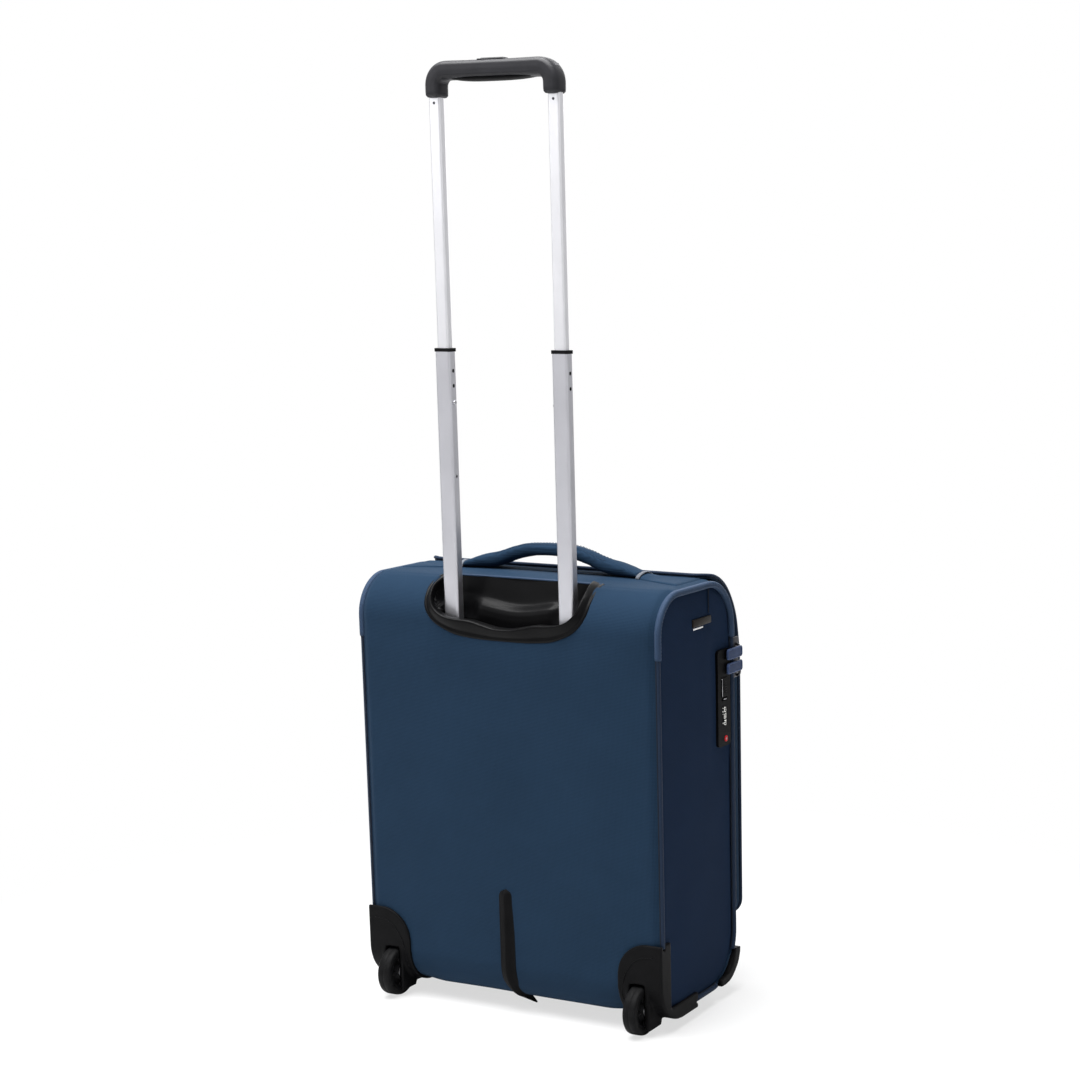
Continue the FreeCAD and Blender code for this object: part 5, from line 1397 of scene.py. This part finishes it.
# ---------------------------------------------------------------- sliders and tag
def sliders():
    """Zip sliders with their flat pullers."""
    for name, low, high, tab in (("upper", 412, 436, (413, 426)), ("lower", 386, 410, (396, 409))):
        body = rounded_box((-197.0, -109, low + 0.4), (-193.6, -97.2, high - 0.4), 1.6, 4)
        arch = ((-197, low + 3), (-200.4, low + 4.5), (-201.4, (low + high) / 2 - 3), (-200.4, high - 10.5),
                (-197, high - 9))
        bridge = sweep(spline([(x, -103.1, z) for x, z in arch], 1.0), ellipse(3.2, 1.8, 8), up=(0, 1, 0))
        inner = rounded_box((-189.6, -108, low + 1), (-188, -98.4, high - 1), 0.6)
        neck = rounded_box((-194.2, -103.6, high - 12), (-189.0, -102.6, high - 3), 0.3)
        merged(f"slider_look_{name}", [body, bridge, inner, neck], "dark_steel", f"{name}_slider",
               replaces=[f"zip_slider_{name}"])
        merged(f"puller_look_{name}", puller_parts(*tab), "puller", f"{name}_puller",
               replaces=[f"zip_puller_{name}"])
        rim = [(-205.25, y, z) for y, z in puller_outline(*tab, 1.3)]
        cord(f"puller_rim_{name}", resample(rim, 1.2, closed=True), ellipse(0.9, 0.8, 6), "puller",
             f"{name}_puller", closed=True, up=LEFTWARDS)


def puller_outline(low, high, inset):
    """Rounded rectangle seen from the side, as (y, z) points."""
    lower, upper = (-103.5 + inset, low + inset), (-66.5 - inset, high - inset)
    return rounded_rectangle(lower, upper, 3.2 - inset * 0.6, 5, first=2)


def puller_parts(low, high):
    """The flat tab with rounded edges, and the eye that turns on the slider's bridge."""
    edges = ((-202.9, 0.7), (-202.9, 0.1), (-203.4, 0.0), (-204.6, 0.0), (-205.1, 0.3), (-205.15, 0.9))
    rings = [[(x, y, z) for y, z in puller_outline(low, high, inset)] for x, inset in edges]
    count = len(rings[0])
    points = [p for ring in rings for p in ring]
    faces = grid_faces(len(rings), count, close_columns=True)
    faces += [f[::-1] for f in end_caps(len(rings), count)]
    line = [(-200.6, -102.6, z) for z in (low + 2.7, (low + high) / 2, high - 2.7)]
    eye = sweep(line, ellipse(4.8, 4.8, 12), up=(1, 0, 0))
    return [(points, faces, flat_layout(points)), eye]


def side_tag():
    """Small plate with a bright strip under its rear half."""
    block("tag_plate", (-201.4, -33, 463.5), (-198.4, 11, 472.5), 1.1, "tag_metal", "case",
          replaces=["side_tag"])
    block("tag_strip", (-200.8, -14, 460.3), (-198.6, 9.5, 462.6), 0.6, "bright", "case")


# ---------------------------------------------------------------- inside of the case
def interior():
    """Lining, its piping, the packing straps and the buckle."""
    path = [(-84, 92)] + arc((-26, 80), 58, 180, count=12) + [(34, 22)]
    path += arc((34, 42), 20, 270) + arc((34, 487), 20, 0) + [(-37, 507)]
    line = resample(path, 7.0)
    grid = []
    for y, z in line:
        row = []
        for x in np.linspace(-191, 191, 56):
            ripple = noise.noise(Vector((x * 0.02, y * 0.03, z * 0.03))) * 1.1
            on_back = y > 50
            row.append((x, y - abs(ripple) * on_back, z + ripple * (not on_back) * 0.6))
        grid.append(row)
    sheet("lining_band", grid, "lining", "case", replaces=["lining_tub"])
    outline = resample(path + [(-60, 500), (-82, 470), (-84, 440)], 7.0, closed=True)
    for side, sign in SIDES:
        lining_side(side, sign, outline)
        edge = [(sign * 189.6, y, z) for y, z in line]
        cord(f"lining_piping_{side}", edge, ellipse(2.6, 2.6, 8), "webbing", "case", slot="lining")
        strap = []
        for x in np.linspace(20, 189, 24):
            sag = 3.0 * math.sin((x - 20) / 168 * math.pi)
            strap.append((sign * x, -79.2 + sag, 250.5))
        cord(f"strap_{side}", strap, ellipse(25, 1.5, 12, 0.35), "webbing", "case", up=(0, 1, 0),
             replaces=["packing_straps"])
    bevel_node("strap_buckle", 1.2, "grip_plastic")


def lining_side(side, sign, outline):
    """Lining of one side, drawn from its outline to a core line. The left one passes round the lock."""
    core = np.stack([np.full(len(outline), -10.0), np.clip(outline[:, 1], 100, 430)], 1)
    rows = []
    for t in np.linspace(0, 1, 26):
        y, z = (outline * (1 - t) + core * t).T
        over_lock = smoothstep(24 - abs(y + 62.5), 0, 8) * smoothstep(72 - abs(z - 369), 0, 10) * (sign < 0)
        x = sign * (191 - 0.8 * np.sin(3 * t + y * 0.02) - 10.2 * over_lock)
        rows.append(np.stack([x, y, z], 1))
    rows = np.array(rows)
    faces = grid_faces(*rows.shape[:2], close_columns=True)
    piece(f"lining_side_{side}", rows.reshape(-1, 3), faces, "lining", "case",
          uv=rows[..., 1:].reshape(-1, 2))


# ---------------------------------------------------------------- hard nodes that keep their CAD shape
def hard_nodes():
    """Finish of the nodes that no piece replaces, and the width of the bevel on their edges."""
    finishes = {
        "bright_tube": {"inner_tube_left": 0, "inner_tube_right": 0},
        "aluminium": {"mid_tube_left": 0, "mid_tube_right": 0, "outer_tubes": 0},
        "gloss_plastic": {"mid_tube_plugs": 0},
        "black_plastic": {"mid_tube_collars": 0.5, "mid_tube_guides": 0, "inner_tube_guides": 0,
                          "outer_tube_guides": 0, "tube_base": 0.8},
        "dark_steel": {"grip_rivets": 0, "case_screws": 0.3},
        "steel": {"mid_lock_springs": 0, "inner_lock_springs": 0, "release_rods": 0, "wheel_axles": 0.3,
                  "wheel_bearings_left": 0.3, "wheel_bearings_right": 0.3},
        "board": {"back_board": 0, "side_boards": 0},
    }
    for material, nodes in finishes.items():
        for node, width in nodes.items():
            if width:
                bevel_node(node, width, material)
            else:
                finish_node(node, material)


# ---------------------------------------------------------------- stage
def room_light():
    """White behind the object, a dim even light on it, and a bright room in its reflections."""
    world = bpy.data.worlds.new("studio")
    bpy.context.scene.world = world
    world.use_nodes = True
    tree = world.node_tree
    tree.nodes.clear()

    def background(strength, colour=(1, 1, 1, 1)):
        made = tree.nodes.new("ShaderNodeBackground")
        made.inputs["Color"].default_value = colour
        made.inputs["Strength"].default_value = strength
        return made

    def choose(fac, first, second):
        made = tree.nodes.new("ShaderNodeMixShader")
        for socket, source in zip(made.inputs, (fac, first.outputs[0], second.outputs[0])):
            tree.links.new(source, socket)
        return made

    rays = tree.nodes.new("ShaderNodeLightPath").outputs
    mirrored = background(0.85, (0.8, 0.8, 0.8, 1))
    lit = choose(rays["Is Glossy Ray"], background(0.16, (0.93, 0.95, 1, 1)), mirrored)
    seen = choose(rays["Is Camera Ray"], lit, background(1.0))
    tree.links.new(seen.outputs[0], tree.nodes.new("ShaderNodeOutputWorld").inputs[0])


def floor():
    """Pale floor that fades to the white of the background away from the object."""
    mesh = bpy.data.meshes.new("floor")
    corners = [(x, y, -0.0006) for x, y in ((-9, -9), (9, -9), (9, 9), (-9, 9))]
    mesh.from_pydata(corners, [], [(0, 1, 2, 3)])
    plane = place_object("floor", mesh)
    # the paint lights itself where it is looked at, more strongly away from the object
    s = Shader("floor_paint")
    s.set("Base Color", (0.72, 0.72, 0.72, 1))
    s.set("Roughness", 0.6)
    s.set("Specular IOR Level", 0.2)
    distance = s.node("ShaderNodeVectorMath", operation="LENGTH")
    s.link(s.node("ShaderNodeTexCoord").outputs["Object"], distance.inputs[0])
    glow = s.node("ShaderNodeEmission", Strength=1.0)
    blend = s.node("ShaderNodeMixShader")
    looked_at = s.node("ShaderNodeLightPath").outputs["Is Camera Ray"]
    glowing = s.add(s.times(s.ramp(distance.outputs["Value"], 0.3, 0.9), 0.34), 0.66)
    s.link(s.times(glowing, looked_at), blend.inputs[0])
    s.link(s.surface.outputs[0], blend.inputs[1])
    s.link(glow.outputs[0], blend.inputs[2])
    s.link(blend.outputs[0], s.output.inputs["Surface"])
    mesh.materials.append(s.material)


def softbox(name, place, size, power):
    """A rectangular lamp turned towards the middle of the object."""
    data = bpy.data.lights.new(name, "AREA")
    data.shape = "RECTANGLE"
    data.size, data.size_y = size
    data.energy = power
    lamp = place_object(name, data)
    lamp.location = place
    lamp.rotation_mode = "QUATERNION"
    lamp.rotation_quaternion = (Vector((0, 0, 0.4)) - Vector(place)).to_track_quat("-Z", "Y")


def studio():
    room_light()
    floor()
    softbox("overhead", (0.3, 0.5, 2.9), (2.4, 2.4), 250)
    softbox("key", (2.1, 2.3, 1.9), (1.6, 2.2), 13)
    softbox("fill", (-2.6, 0.9, 1.2), (1.2, 2.0), 3)
    softbox("front", (0.8, -2.6, 1.6), (2.0, 2.0), 30)


def camera():
    """The photo's place and lens. The lens shift belongs to that place and is zero anywhere else."""
    place = (-1.3425, 2.1058, 0.8692)
    backwards = Vector((-0.40464, 0.89548, 0.18540))
    data = bpy.data.cameras.new("camera")
    cam = place_object("camera", data)
    bpy.context.scene.camera = cam
    data.sensor_width = 36
    data.lens = 70.606
    data.clip_start, data.clip_end = 0.05, 60
    cam.location = place
    cam.rotation_mode = "QUATERNION"
    cam.rotation_quaternion = (-backwards).to_track_quat("-Z", "Y")
    for name, amount in (("shift_x", -0.2861), ("shift_y", 0.1162)):
        driver = data.driver_add(name).driver
        driver.type = "SCRIPTED"
        variable = driver.variables.new()
        variable.name = "place"
        variable.type = "TRANSFORMS"
        variable.targets[0].id = cam
        variable.targets[0].transform_type = "LOC_X"
        variable.targets[0].transform_space = "WORLD_SPACE"
        driver.expression = f"{amount} if abs(place + {-place[0]}) < 0.0005 else 0"


case_band()
for side, sign in SIDES:
    side_panel(side, sign)
    wheel_corner(side, sign)
corded_edges()
back_details()
cup_rim()
cup_hollow()
cup_floor()
lid()
pocket_slider()
lid_hinge()
carry_handle()
grip()
front_feet()
skid()
lock()
sliders()
side_tag()
interior()
hard_nodes()
studio()
camera()
bpy.context.scene.view_settings.view_transform = "Standard"
